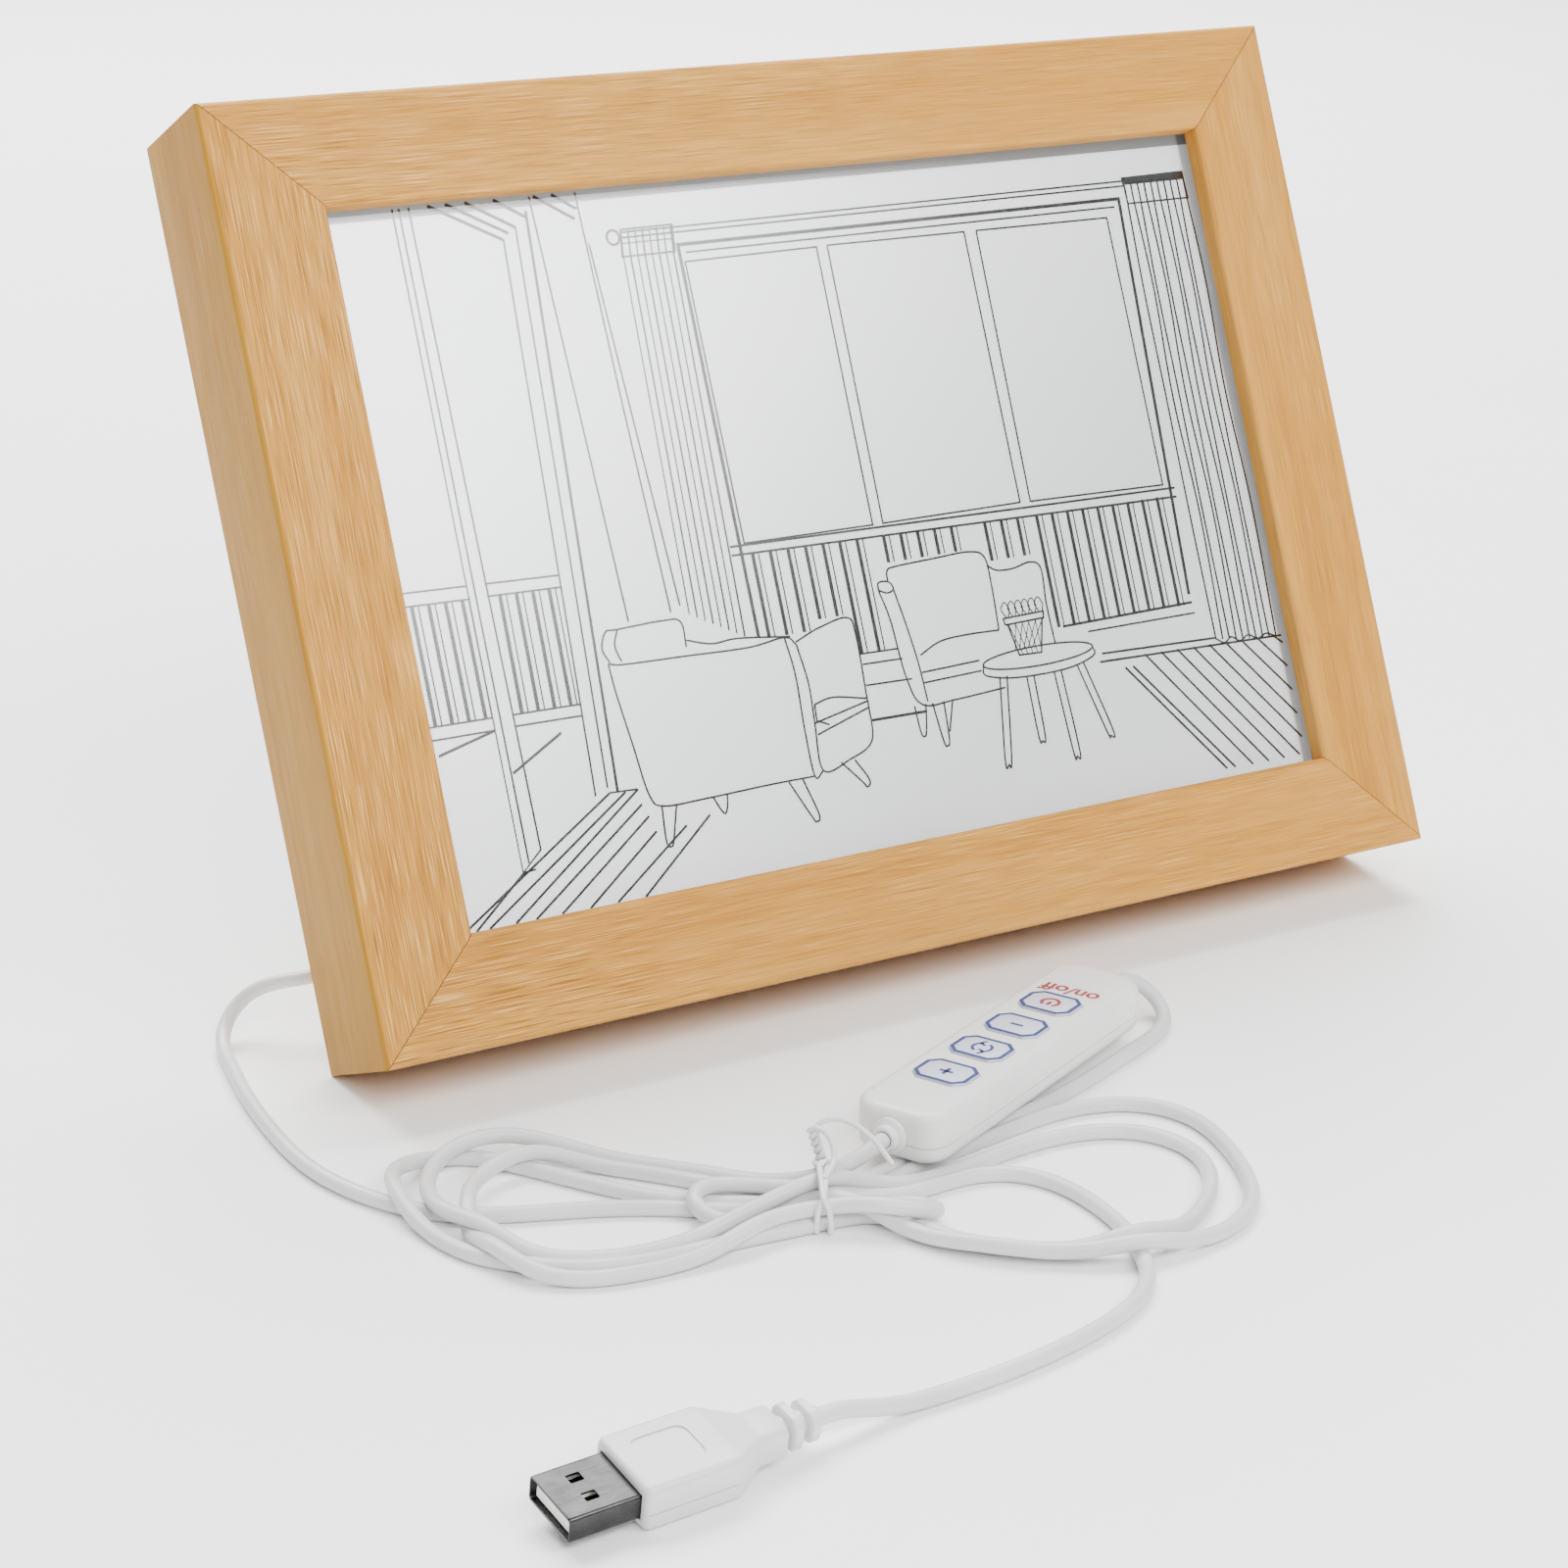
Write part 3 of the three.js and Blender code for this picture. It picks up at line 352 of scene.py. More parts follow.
@dataclass(frozen=True)
class Metal:
    """Rolled or turned metal.

    The eye sees reflections drawn out along one lay, over a colour that small wear dulls in places.
    """

    name: str
    colour: str
    shade: str
    roughness: float = 0.28
    lay: Point = (0, 0, 0)
    lay_mm: float = 0.15

    def make(self) -> bpy.types.Material:
        """Builds the material.

        Returns:
            The material.
        """
        material, tree, shader = blank_material(self.name)
        across = 1000 / self.lay_mm
        lines = add_node(
            tree, "TexNoise", Vector=place_on(tree, self.lay, (across * 0.04, across, across)), Scale=1.0,
            Detail=2.0
        )
        wear = add_node(tree, "TexNoise", Vector=place_on(tree), Scale=260.0, Detail=3.0)
        colour = ramp(tree, wear.outputs["Fac"], [(0.3, linear(self.shade)), (0.7, linear(self.colour))])
        tree.links.new(colour, shader.inputs["Base Color"])
        shader.inputs["Metallic"].default_value = 1.0
        rough = ramp(
            tree, lines.outputs["Fac"], [(0.3, grey(self.roughness * 0.75)), (0.7, grey(self.roughness * 1.3))]
        )
        tree.links.new(rough, shader.inputs["Roughness"])
        bump = add_node(tree, "Bump", Strength=0.12, Distance=0.00003, Height=lines.outputs["Fac"])
        tree.links.new(bump.outputs["Normal"], shader.inputs["Normal"])
        return material


@dataclass(frozen=True)
class Hardboard:
    """Wet-pressed hardboard.

    The eye sees a brown face, smooth from the press, with darker bundles of fibre that lie every way.
    """

    name: str = "hardboard_pressed"
    light: str = "8A6342"
    dark: str = "5B3D27"

    def make(self) -> bpy.types.Material:
        """Builds the material.

        Returns:
            The material.
        """
        material, tree, shader = blank_material(self.name)
        where = place_on(tree, (LEAN, 0, 0))
        bundles = add_node(
            tree, "TexNoise", Vector=where, Scale=900.0, Detail=5.0, Roughness=0.7, Distortion=1.2
        )
        clouds = add_node(tree, "TexNoise", Vector=where, Scale=60.0, Detail=3.0)
        mixed = add_node(
            tree, "Math", {"operation": "MULTIPLY_ADD"}, i0=clouds.outputs["Fac"], i1=0.5,
            i2=bundles.outputs["Fac"]
        ).outputs[0]
        colour = ramp(tree, mixed, [(0.5, linear(self.dark)), (1.0, linear(self.light))])
        tree.links.new(colour, shader.inputs["Base Color"])
        shader.inputs["Roughness"].default_value = 0.6
        bump = add_node(tree, "Bump", Strength=0.25, Distance=0.0001, Height=bundles.outputs["Fac"])
        tree.links.new(bump.outputs["Normal"], shader.inputs["Normal"])
        return material


@dataclass(frozen=True)
class ClearAcrylic:
    """Cast acrylic sheet.

    The eye sees a clear, glossy face, with the faintest waviness in its reflections.
    """

    name: str = "acrylic_cast_clear"

    def make(self) -> bpy.types.Material:
        """Builds the material.

        Returns:
            The material.
        """
        material, tree, shader = blank_material(self.name)
        waves = add_node(tree, "TexNoise", Vector=place_on(tree), Scale=18.0, Detail=1.0)
        bump = add_node(tree, "Bump", Strength=0.02, Distance=0.0002, Height=waves.outputs["Fac"])
        tree.links.new(bump.outputs["Normal"], shader.inputs["Normal"])
        tint = ramp(tree, waves.outputs["Fac"], [(0.0, linear("F6FAFB")), (1.0, linear("FFFFFF"))])
        tree.links.new(tint, shader.inputs["Base Color"])
        shader.inputs["Roughness"].default_value = 0.03
        shader.inputs["IOR"].default_value = 1.49
        shader.inputs["Transmission Weight"].default_value = 1.0
        return material


@dataclass(frozen=True)
class PrintFilm:
    """Matt translucent printing film over the light panel.

    The eye sees a near-white sheet with a painted glow, brightest to the upper left as a painted highlight and softly
    darker towards the lower right, with a painted shadow under the top and right lips.
    """

    name: str = "print_film_matt"
    painted_glare_bright: str = "FFFFFF"
    painted_glare_dull: str = "C2C2C2"
    glow: float = 1.5
    painted_top_shadow_m: float = 0.1458
    painted_right_shadow_m: float = 0.1014

    def make(self) -> bpy.types.Material:
        """Builds the material.

        Returns:
            The material.
        """
        material, tree, shader = blank_material(self.name)
        tooth = add_node(tree, "TexNoise", Vector=place_on(tree), Scale=2500.0, Detail=2.0)
        place = add_node(tree, "SeparateXYZ", Vector=place_on(tree, (LEAN, 0, 0)))
        # Painted highlight: the film is brightest to the upper left and duller towards the lower right.
        away = add_node(
            tree, "Math", {"operation": "SUBTRACT"}, i0=place.outputs["X"], i1=place.outputs["Z"]
        ).outputs[0]
        span = add_node(tree, "MapRange", i0=away, i1=-0.22, i2=0.0, i3=0.0, i4=1.0).outputs[0]
        mixed = add_node(
            tree, "Math", {"operation": "MULTIPLY_ADD"}, i0=tooth.outputs["Fac"], i1=0.04, i2=span
        ).outputs[0]
        colour = ramp(tree, mixed, [(0.0, linear(self.painted_glare_bright)), (1.0, linear(self.painted_glare_dull))])
        # Painted shadow: grey bands along the top and right edges of the film, under the lips.
        under = add_node(
            tree, "MapRange", i0=place.outputs["Z"], i1=self.painted_top_shadow_m, i2=self.painted_top_shadow_m + 0.0003, i3=1.0, i4=0.2
        ).outputs[0]
        beside = add_node(
            tree, "MapRange", i0=place.outputs["X"], i1=self.painted_right_shadow_m, i2=self.painted_right_shadow_m + 0.0008, i3=1.0, i4=0.35
        ).outputs[0]
        painted_lip_shadow = add_node(tree, "Math", {"operation": "MULTIPLY"}, i0=under, i1=beside).outputs[0]
        colour = add_node(
            tree, "Mix", {"data_type": "RGBA", "blend_type": "MULTIPLY"}, i0=1.0, i6=colour, i7=painted_lip_shadow
        ).outputs[2]
        tree.links.new(colour, shader.inputs["Base Color"])
        # Painted glow: the film's colour is emitted as well, in place of the light that the closed pane keeps off it.
        tree.links.new(colour, shader.inputs["Emission Color"])
        shader.inputs["Emission Strength"].default_value = self.glow
        shader.inputs["Roughness"].default_value = 0.75
        bump = add_node(tree, "Bump", Strength=0.05, Distance=0.00002, Height=tooth.outputs["Fac"])
        tree.links.new(bump.outputs["Normal"], shader.inputs["Normal"])
        return material


@dataclass(frozen=True)
class Ink:
    """Printed ink.

    The eye sees a thin matt layer, a little uneven where it lies on its carrier.
    """

    name: str
    colour: str
    thin: str
    roughness: float = 0.55

    def make(self) -> bpy.types.Material:
        """Builds the material.

        Returns:
            The material.
        """
        material, tree, shader = blank_material(self.name)
        spread = add_node(tree, "TexNoise", Vector=place_on(tree), Scale=1800.0, Detail=2.0)
        colour = ramp(tree, spread.outputs["Fac"], [(0.35, linear(self.colour)), (0.75, linear(self.thin))])
        tree.links.new(colour, shader.inputs["Base Color"])
        shader.inputs["Roughness"].default_value = self.roughness
        return material


@dataclass(frozen=True)
class Finishes:
    """Every finish, made once."""

    made: dict[str, bpy.types.Material] = field(default_factory=dict)

    def build(self) -> None:
        """Makes all the materials."""
        recipes: dict[str, Callable[[], bpy.types.Material]] = {
            # Paper foil, printed and embossed: its grain runs along the rails, and up the stiles.
            "oak_along": OakFoil(Grain.ALONG).make,
            "oak_up": OakFoil(Grain.UP).make,
            # ABS, injection moulded: an even satin white, with soft highlights along its rounds.
            "abs": Moulded("abs_moulded_white", "E2E2E0", "DBDBD9", 0.3).make,
            # ABS, injection moulded for the keys: a cooler, duller grey than the shells, so the keys stand out.
            "key": Moulded("abs_key_cool_grey", "C6C9D8", "BFC2D2", 0.38).make,
            # TPE, extruded as the cord's sheath: a soft white, with one long satin highlight along it.
            "tpe": Moulded("tpe_sheath_extruded", "CFCFCF", "C6C6C6", 0.36, 1.5, 0.4, 0.08).make,
            # PVC, injection moulded over the plug: a little greyer and softer in its highlights than the ABS.
            "pvc": Moulded("pvc_overmould_white", "D0D0D0", "C8C8C8", 0.36, 1.53, 0.3, 0.08).make,
            # PVC, extruded over annealed wire: thin and glossy, with a hard small highlight.
            "tie": Moulded("pvc_tie_wire", "DDDDDD", "D0D0D0", 0.3).make,
            # Thermoplastic rubber, moulded: matt, hardly a highlight.
            "rubber": Moulded("tpr_grommet_grey", "D8D8D6", "CACAC8", 0.6, 1.5, 0.3, 0.15).make,
            # Opal polystyrene, extruded as sheet: milky and even.
            "opal": Moulded("polystyrene_opal_sheet", "F6F6F2", "EEEEEA", 0.5).make,
            # Laminate with a white solder mask, screened: bright and slightly glossy.
            "led": Moulded("laminate_white_mask", "F1F1ED", "E6E6E2", 0.35).make,
            # Glass-epoxy laminate with a green solder mask, screened: deep green, slightly glossy.
            "circuit": Moulded("laminate_green_mask", "2F6B45", "27593A", 0.35).make,
            # Glass-filled nylon, moulded: near black and dull.
            "black": Moulded("nylon_black_moulded", "242426", "1A1A1C", 0.5).make,
            # Steel, pressed and zinc plated: cool bright grey, with soft streaks from rolling.
            "zinc": Metal("steel_zinc_plated", "C6C9CB", "A9ADB0", 0.34, (LEAN, 0, 0)).make,
            # Steel, rolled, folded and nickel plated: a mid grey mirror, blurred along its lay.
            "nickel": Metal("steel_nickel_plated", "464646", "363636", 0.32).make,
            # Steel, pressed and brass washed: pale gold, with soft streaks.
            "brass": Metal("steel_brass_washed", "CFAE6A", "AE8C4B", 0.3, (LEAN, 0, 0)).make,
            # Nickel with a gold flash, plated: small warm glints inside the plug.
            "gold": Metal("contact_gold_flashed", "E3BE6B", "D0A653", 0.2).make,
            # Hardboard, wet pressed: plain warm brown.
            "hardboard": Hardboard().make,
            # Acrylic, cast: clear, with a crisp reflection.
            "acrylic": ClearAcrylic().make,
            # Polyester film, matt coated: near white, with a painted glow in place of the light that the pane keeps
            # off it.
            "film": PrintFilm().make,
            # Inks, printed and screened: matt black lines, navy borders and a dark red symbol.
            "line": Ink("ink_black_printed", "060607", "141415").make,
            "navy": Ink("ink_navy_screened", "06215F", "0E2F78").make,
            "red": Ink("ink_dark_red_screened", "8C0816", "9A1220").make,
        }
        for key, make in recipes.items():
            self.made[key] = make()

    def __getitem__(self, key: str) -> bpy.types.Material:
        """The material of that key."""
        return self.made[key]

    def dress_node(self, node: str, key: str) -> None:
        """Gives a carried-over CAD node its material."""
        mesh = frame["nodes"][node].data
        mesh.materials.clear()
        mesh.materials.append(self.made[key])
        log.info("dressed %s in %s", node, self.made[key].name)


# ------------------------------------------------------------------ mesh helpers
def rounded_rectangle(width: float, height: float, radius: float, steps: int = 8) -> list[tuple[float, float]]:
    """Outline of a rectangle with round corners, anticlockwise.

    Args:
        width: size along X.
        height: size along Y.
        radius: corner radius.
        steps: segments in each corner.

    Returns:
        The outline's points.
    """
    points = []
    for cx, cy, start in ((1, -1, -90), (1, 1, 0), (-1, 1, 90), (-1, -1, 180)):
        for i in range(steps + 1):
            angle = math.radians(start + 90 * i / steps)
            points.append(
                (
                    cx * (width / 2 - radius) + radius * math.cos(angle),
                    cy * (height / 2 - radius) + radius * math.sin(angle),
                )
            )
    return points


def loft(rings: Sequence[Sequence[Point]], close_rings: bool = False) -> bpy.types.Mesh:
    """Skins rings of equal count, and closes both ends unless the rings themselves form a loop.

    Args:
        rings: point rings, anticlockwise as seen from the far end.
        close_rings: joins the last ring to the first.

    Returns:
        A mesh in millimetres.
    """
    count = len(rings[0])
    verts = [p for ring in rings for p in ring]
    faces = []
    last = len(rings) if close_rings else len(rings) - 1
    for r in range(last):
        a = r * count
        b = ((r + 1) % len(rings)) * count
        for i in range(count):
            j = (i + 1) % count
            faces.append((a + i, a + j, b + j, b + i))
    if not close_rings:
        faces.append(tuple(reversed(range(count))))
        faces.append(tuple((len(rings) - 1) * count + i for i in range(count)))
    mesh = bpy.data.meshes.new("loft")
    mesh.from_pydata(verts, [], faces)
    tidy = bmesh.new()
    tidy.from_mesh(mesh)
    bmesh.ops.recalc_face_normals(tidy, faces=tidy.faces)
    tidy.to_mesh(mesh)
    tidy.free()
    return mesh


def soft_box(
    length: float, width: float, low: float, high: float, corner: float, edge: float, steps: int = 6
) -> bpy.types.Mesh:
    """A box with round plan corners and round top and bottom edges, centred on Z.

    Args:
        length: size along X.
        width: size along Y.
        low: height of the underside.
        high: height of the top.
        corner: plan radius of the corners.
        edge: radius of the edges.
        steps: segments in each round.

    Returns:
        A mesh in millimetres.
    """
    rings = []
    for top in (False, True):
        for i in range(steps + 1):
            angle = math.radians(90 * i / steps)
            inset = edge * (1 - math.sin(angle)) if not top else edge * (1 - math.cos(angle))
            rise = low + edge * (1 - math.cos(angle)) if not top else high - edge * (1 - math.sin(angle))
            outline = rounded_rectangle(length - 2 * inset, width - 2 * inset, max(corner - inset, 0.3), 10)
            rings.append([(x, y, rise) for x, y in outline])
    return loft(rings)


def make_object(
    name: str, mesh: bpy.types.Mesh, place: Matrix, material: bpy.types.Material, sharp: float = 32.0
) -> bpy.types.Object:
    """Makes a placed object from a mesh in millimetres.

    Args:
        name: the piece's name.
        mesh: its mesh, in millimetres in its own frame.
        place: where that frame lies.
        material: its finish.
        sharp: edges steeper than this many degrees stay crisp.

    Returns:
        The object, with its place in its vertices.
    """
    mesh.name = name
    mesh.transform(place @ Matrix.Scale(MM, 4))
    mesh.materials.clear()
    mesh.materials.append(material)
    mesh.polygons.foreach_set("use_smooth", [True] * len(mesh.polygons))
    mesh.set_sharp_from_angle(angle=math.radians(sharp))
    piece = bpy.data.objects.new(name, mesh)
    bpy.context.scene.collection.objects.link(piece)
    return piece


def carve(piece: bpy.types.Object, tools: Sequence[bpy.types.Mesh], place: Matrix, union: bool = False) -> None:
    """Cuts meshes out of a piece, or joins them to it.

    Args:
        piece: the object that changes.
        tools: closed meshes in millimetres.
        place: where the tools' frame lies.
        union: joins in place of cutting.
    """
    for tool in tools:
        tool.transform(place @ Matrix.Scale(MM, 4))
        cutter = bpy.data.objects.new("cutter", tool)
        bpy.context.scene.collection.objects.link(cutter)
        modifier = piece.modifiers.new("carve", "BOOLEAN")
        modifier.operation = "UNION" if union else "DIFFERENCE"
        modifier.object = cutter
        modifier.solver = "EXACT"
        graph = bpy.context.evaluated_depsgraph_get()
        result = bpy.data.meshes.new_from_object(piece.evaluated_get(graph))
        piece.modifiers.clear()
        piece.data = result
        bpy.data.objects.remove(cutter)
    material = piece.data.materials[0]
    piece.data.materials.clear()
    piece.data.materials.append(material)
    piece.data.polygons.foreach_set("material_index", [0] * len(piece.data.polygons))
    piece.data.polygons.foreach_set("use_smooth", [True] * len(piece.data.polygons))
    piece.data.set_sharp_from_angle(angle=math.radians(32))


def bar(points: Sequence[tuple[float, float]], low: float, high: float) -> bpy.types.Mesh:
    """An upright prism over a plan outline."""
    return loft([[(x, y, z) for x, y in points] for z in (low, high)])


def block(size: Point, centre: Point) -> bpy.types.Mesh:
    """A plain block, used as a cutter.

    Args:
        size: its sizes along X, Y and Z.
        centre: its middle.

    Returns:
        A mesh in millimetres.
    """
    x, y, z = (s / 2 for s in size)
    outline = [(-x, -y), (x, -y), (x, y), (-x, y)]
    mesh = bar(outline, -z, z)
    mesh.transform(Matrix.Translation(centre))
    return mesh


def turned(profile: Sequence[tuple[float, float]], steps: int = 40) -> bpy.types.Mesh:
    """A ring-shaped solid of revolution about X.

    Args:
        profile: closed outline of (radius, x) pairs.
        steps: segments round the axis.

    Returns:
        A mesh in millimetres.
    """
    rings = []
    for i in range(steps):
        angle = 2 * math.pi * i / steps
        rings.append([(x, r * math.cos(angle), r * math.sin(angle)) for r, x in profile])
    return loft(rings, close_rings=True)


def ribbon(points: Sequence[tuple[float, float]], width: float, closed: bool = False) -> tuple[list, list]:
    """A flat stroke of even width along a line.

    Args:
        points: the stroke's line.
        width: its width.
        closed: whether its end meets its start.

    Returns:
        Vertices in the plane, and quads.
    """
    count = len(points)
    verts = []
    for i in range(count):
        before = points[(i - 1) % count] if closed or i else points[0]
        after = points[(i + 1) % count] if closed or i < count - 1 else points[-1]
        here = points[i]
        a = Vector((here[0] - before[0], here[1] - before[1]))
        b = Vector((after[0] - here[0], after[1] - here[1]))
        a = a.normalized() if a.length > 1e-6 else b.normalized()
        b = b.normalized() if b.length > 1e-6 else a
        along = (a + b).normalized() if (a + b).length > 1e-6 else a
        stretch = min(1 / max(along.dot(a), 0.5), 1.6)
        side = Vector((-along.y, along.x)) * width / 2 * stretch
        verts.append((here[0] + side.x, here[1] + side.y))
        verts.append((here[0] - side.x, here[1] - side.y))
    faces = []
    last = count if closed else count - 1
    for i in range(last):
        j = (i + 1) % count
        faces.append((2 * i, 2 * i + 1, 2 * j + 1, 2 * j))
    return verts, faces


def smooth_line(points: Sequence[tuple[float, float]], parts: int = 8) -> list[tuple[float, float]]:
    """A Catmull-Rom curve through plane points.

    Args:
        points: the points that it passes through.
        parts: segments between two of them.

    Returns:
        Points along the curve, the last one included.
    """
    p = [Vector(q) for q in points]
    p = [2 * p[0] - p[1], *p, 2 * p[-1] - p[-2]]
    out = []
    for i in range(1, len(p) - 2):
        for k in range(parts):
            t = k / parts
            a, b, c, d = p[i - 1 : i + 3]
            v = 0.5 * (
                2 * b + (c - a) * t + (2 * a - 5 * b + 4 * c - d) * t**2 + (3 * b - a - 3 * c + d) * t**3
            )
            out.append((v.x, v.y))
    out.append(tuple(points[-1]))
    return out


# ------------------------------------------------------------------ cord routes, in millimetres on the desk
LEAD = [
    (-97.8, 15.9, 22.8), (-98.1, 17.6, 22.1), (-98.8, 19.2, 21), (-102.4, 20.2, 18.8), (-108, 19.2, 16.2),
    (-114.5, 18, 14.3), (-121, 18.4, 12.6), (-127, 23, 11.2), (-131.6, 27, 8.9), (-135.2, 27.4, 5.6),
    (-137.6, 23, 2.7), (-140.4, 14, 1.6), (-142.6, 4, 1.6), (-144.4, -9, 1.6), (-145.4, -26, 1.6),
    (-144.6, -42, 1.6), (-141.5, -52, 1.6), (-137.7, -59.4, 1.6), (-132.5, -67, 1.6), (-126.4, -71.5, 1.6),
    (-114.7, -76.1, 1.6), (-100.3, -82.6, 1.6), (-88, -90, 1.6),
]
RIGHT_OUTER = [
    (-66.5, -106.5, 3.4), (-63.3, -113.2, 4.6), (-59.5, -121, 4.6), (-52.9, -128.8, 4.7), (-44, -135.9, 6),
    (-32, -141.2, 7.4), (-20, -143, 6.2), (-9, -140, 4.6), (-1, -132, 4.6), (4.5, -120, 4.6), (7, -110, 4.2),
    (8, -102, 3), (5, -94.5, 1.6), (-1, -89.6, 1.6), (-9, -87.6, 1.6), (-18, -87.6, 1.6), (-28, -89.6, 1.6),
    (-40, -91.6, 1.6), (-52, -94.5, 1.6), (-62, -97, 1.6),
]
LEFT_LOW = [
    (-80, -92.5, 1.6), (-87.4, -89, 1.6), (-97.8, -77.8, 1.6), (-108, -62.4, 1.6), (-114.7, -52.5, 1.6),
    (-122.3, -46.8, 1.6), (-130.1, -47.4, 1.6), (-135.2, -54.6, 1.6), (-137.6, -65.6, 2.6), (-136, -75.5, 2.2),
    (-131.3, -85, 1.6), (-124, -94, 1.6), (-113, -100.5, 1.6), (-100, -103, 1.6), (-86, -103.6, 1.6),
]
RIGHT_INNER = [
    (-66, -105, 1.6), (-63.5, -112, 1.6), (-60, -120, 1.6), (-53, -128, 1.7), (-43, -135.2, 3.2),
    (-32, -139.5, 4.7), (-21, -137.5, 3.4), (-12, -132, 1.8), (-5, -125, 1.6), (-1, -116, 1.6), (-1, -108, 1.6),
    (-5.5, -101, 1.6), (-13, -97.4, 2), (-24, -96, 3), (-36, -97.5, 4.6), (-48, -99.6, 4.7), (-60, -99.6, 5.4),
]
LEFT_TOP = [
    (-70, -98, 6.8), (-80, -97.4, 7.2), (-90.6, -97.9, 6.2), (-100, -98.3, 4.8), (-110, -98.2, 4.8),
    (-119, -95, 4.8), (-126, -89.5, 4.8), (-131.2, -81.9, 4.8), (-133.2, -71.7, 4.8), (-130.7, -59.9, 4.8),
    (-123.3, -50.5, 4.8), (-113.5, -49.3, 4.8), (-103.9, -54.8, 4.6), (-92.1, -66.9, 4.6), (-80.5, -79.5, 4.8),
    (-74.5, -87, 5.4),
]
INLET = [
    (-71, -92, 7.2), (-68.5, -95.4, 7.6), (-64.8, -96.6, 7.8), (-60.4, -95.4, 8.1), (-57.2, -93.85, 8.3),
    (-55.2, -92.85, 8.3),
]
OUTLET = [
    (22.3, -55.05, 8.3), (24.6, -53.95, 8.3), (28.2, -52.8, 7.7), (31.4, -54.2, 6.3), (32.5, -57.9, 4.6),
    (30.6, -62.5, 2.8), (25, -66.4, 1.8), (15.6, -70.9, 1.6), (6.5, -75.4, 1.6), (-2, -78.8, 1.6), (-12, -82.6, 1.6),
    (-24, -85.8, 1.6), (-36, -88, 1.6), (-50, -91, 1.6), (-62, -94.2, 1.6),
]
LEFT_MIDDLE = [
    (-72, -94.5, 3), (-79, -87.2, 4.4), (-87.8, -76.8, 4.6), (-97.9, -65.6, 4.6), (-107.7, -58.6, 4.6),
    (-117.2, -58.6, 4.6), (-124.5, -63.7, 4.4), (-129.4, -71.8, 3.8), (-131.4, -80.6, 2.4), (-130.8, -90, 3.6),
    (-125.9, -98.5, 4.6), (-116.8, -103.4, 4.6), (-102.2, -104.5, 4.6), (-86.5, -103.4, 4.6),
]
SHORT_RIGHT = [
    (-72.8, -103.6, 5.4), (-68.6, -106, 6), (-65.8, -109.3, 6.2), (-63.2, -112, 6), (-59.8, -113.4, 5.2),
    (-56.2, -112.5, 4.2), (-54.6, -109.2, 3.1), (-56, -105.9, 2.2), (-59.8, -104.1, 1.6), (-64, -103.3, 1.6),
    (-69, -102, 1.6),
]
SHORT_LEFT = [
    (-76, -99.6, 3), (-81, -98.6, 3.9), (-86.5, -97.2, 4.4), (-91.2, -94.6, 4.6), (-93.2, -90.6, 4.6),
    (-91.4, -86.9, 4.4), (-87.2, -86, 4), (-82.4, -88.2, 3.6), (-77.6, -92.4, 3),
]
TAIL = [
    (-69, -97.4, 1.8), (-61, -100.3, 1.6), (-53, -101, 1.6), (-44, -101.2, 1.6), (-36, -103.4, 1.6),
    (-31, -110, 1.6), (-29, -120, 1.6), (-29.6, -130, 1.6), (-31, -138, 1.6), (-33, -144, 1.6),
    (-35.6, -149, 1.6), (-40.4, -153.6, 1.6), (-48, -157.6, 1.6), (-58, -161, 1.6), (-68, -163.2, 1.6),
    (-79, -164.6, 1.7), (-90, -165, 2.2), (-99, -165.2, 3.2), (-106, -165.6, 4.4), (-113, -166.2, 4.95),
]


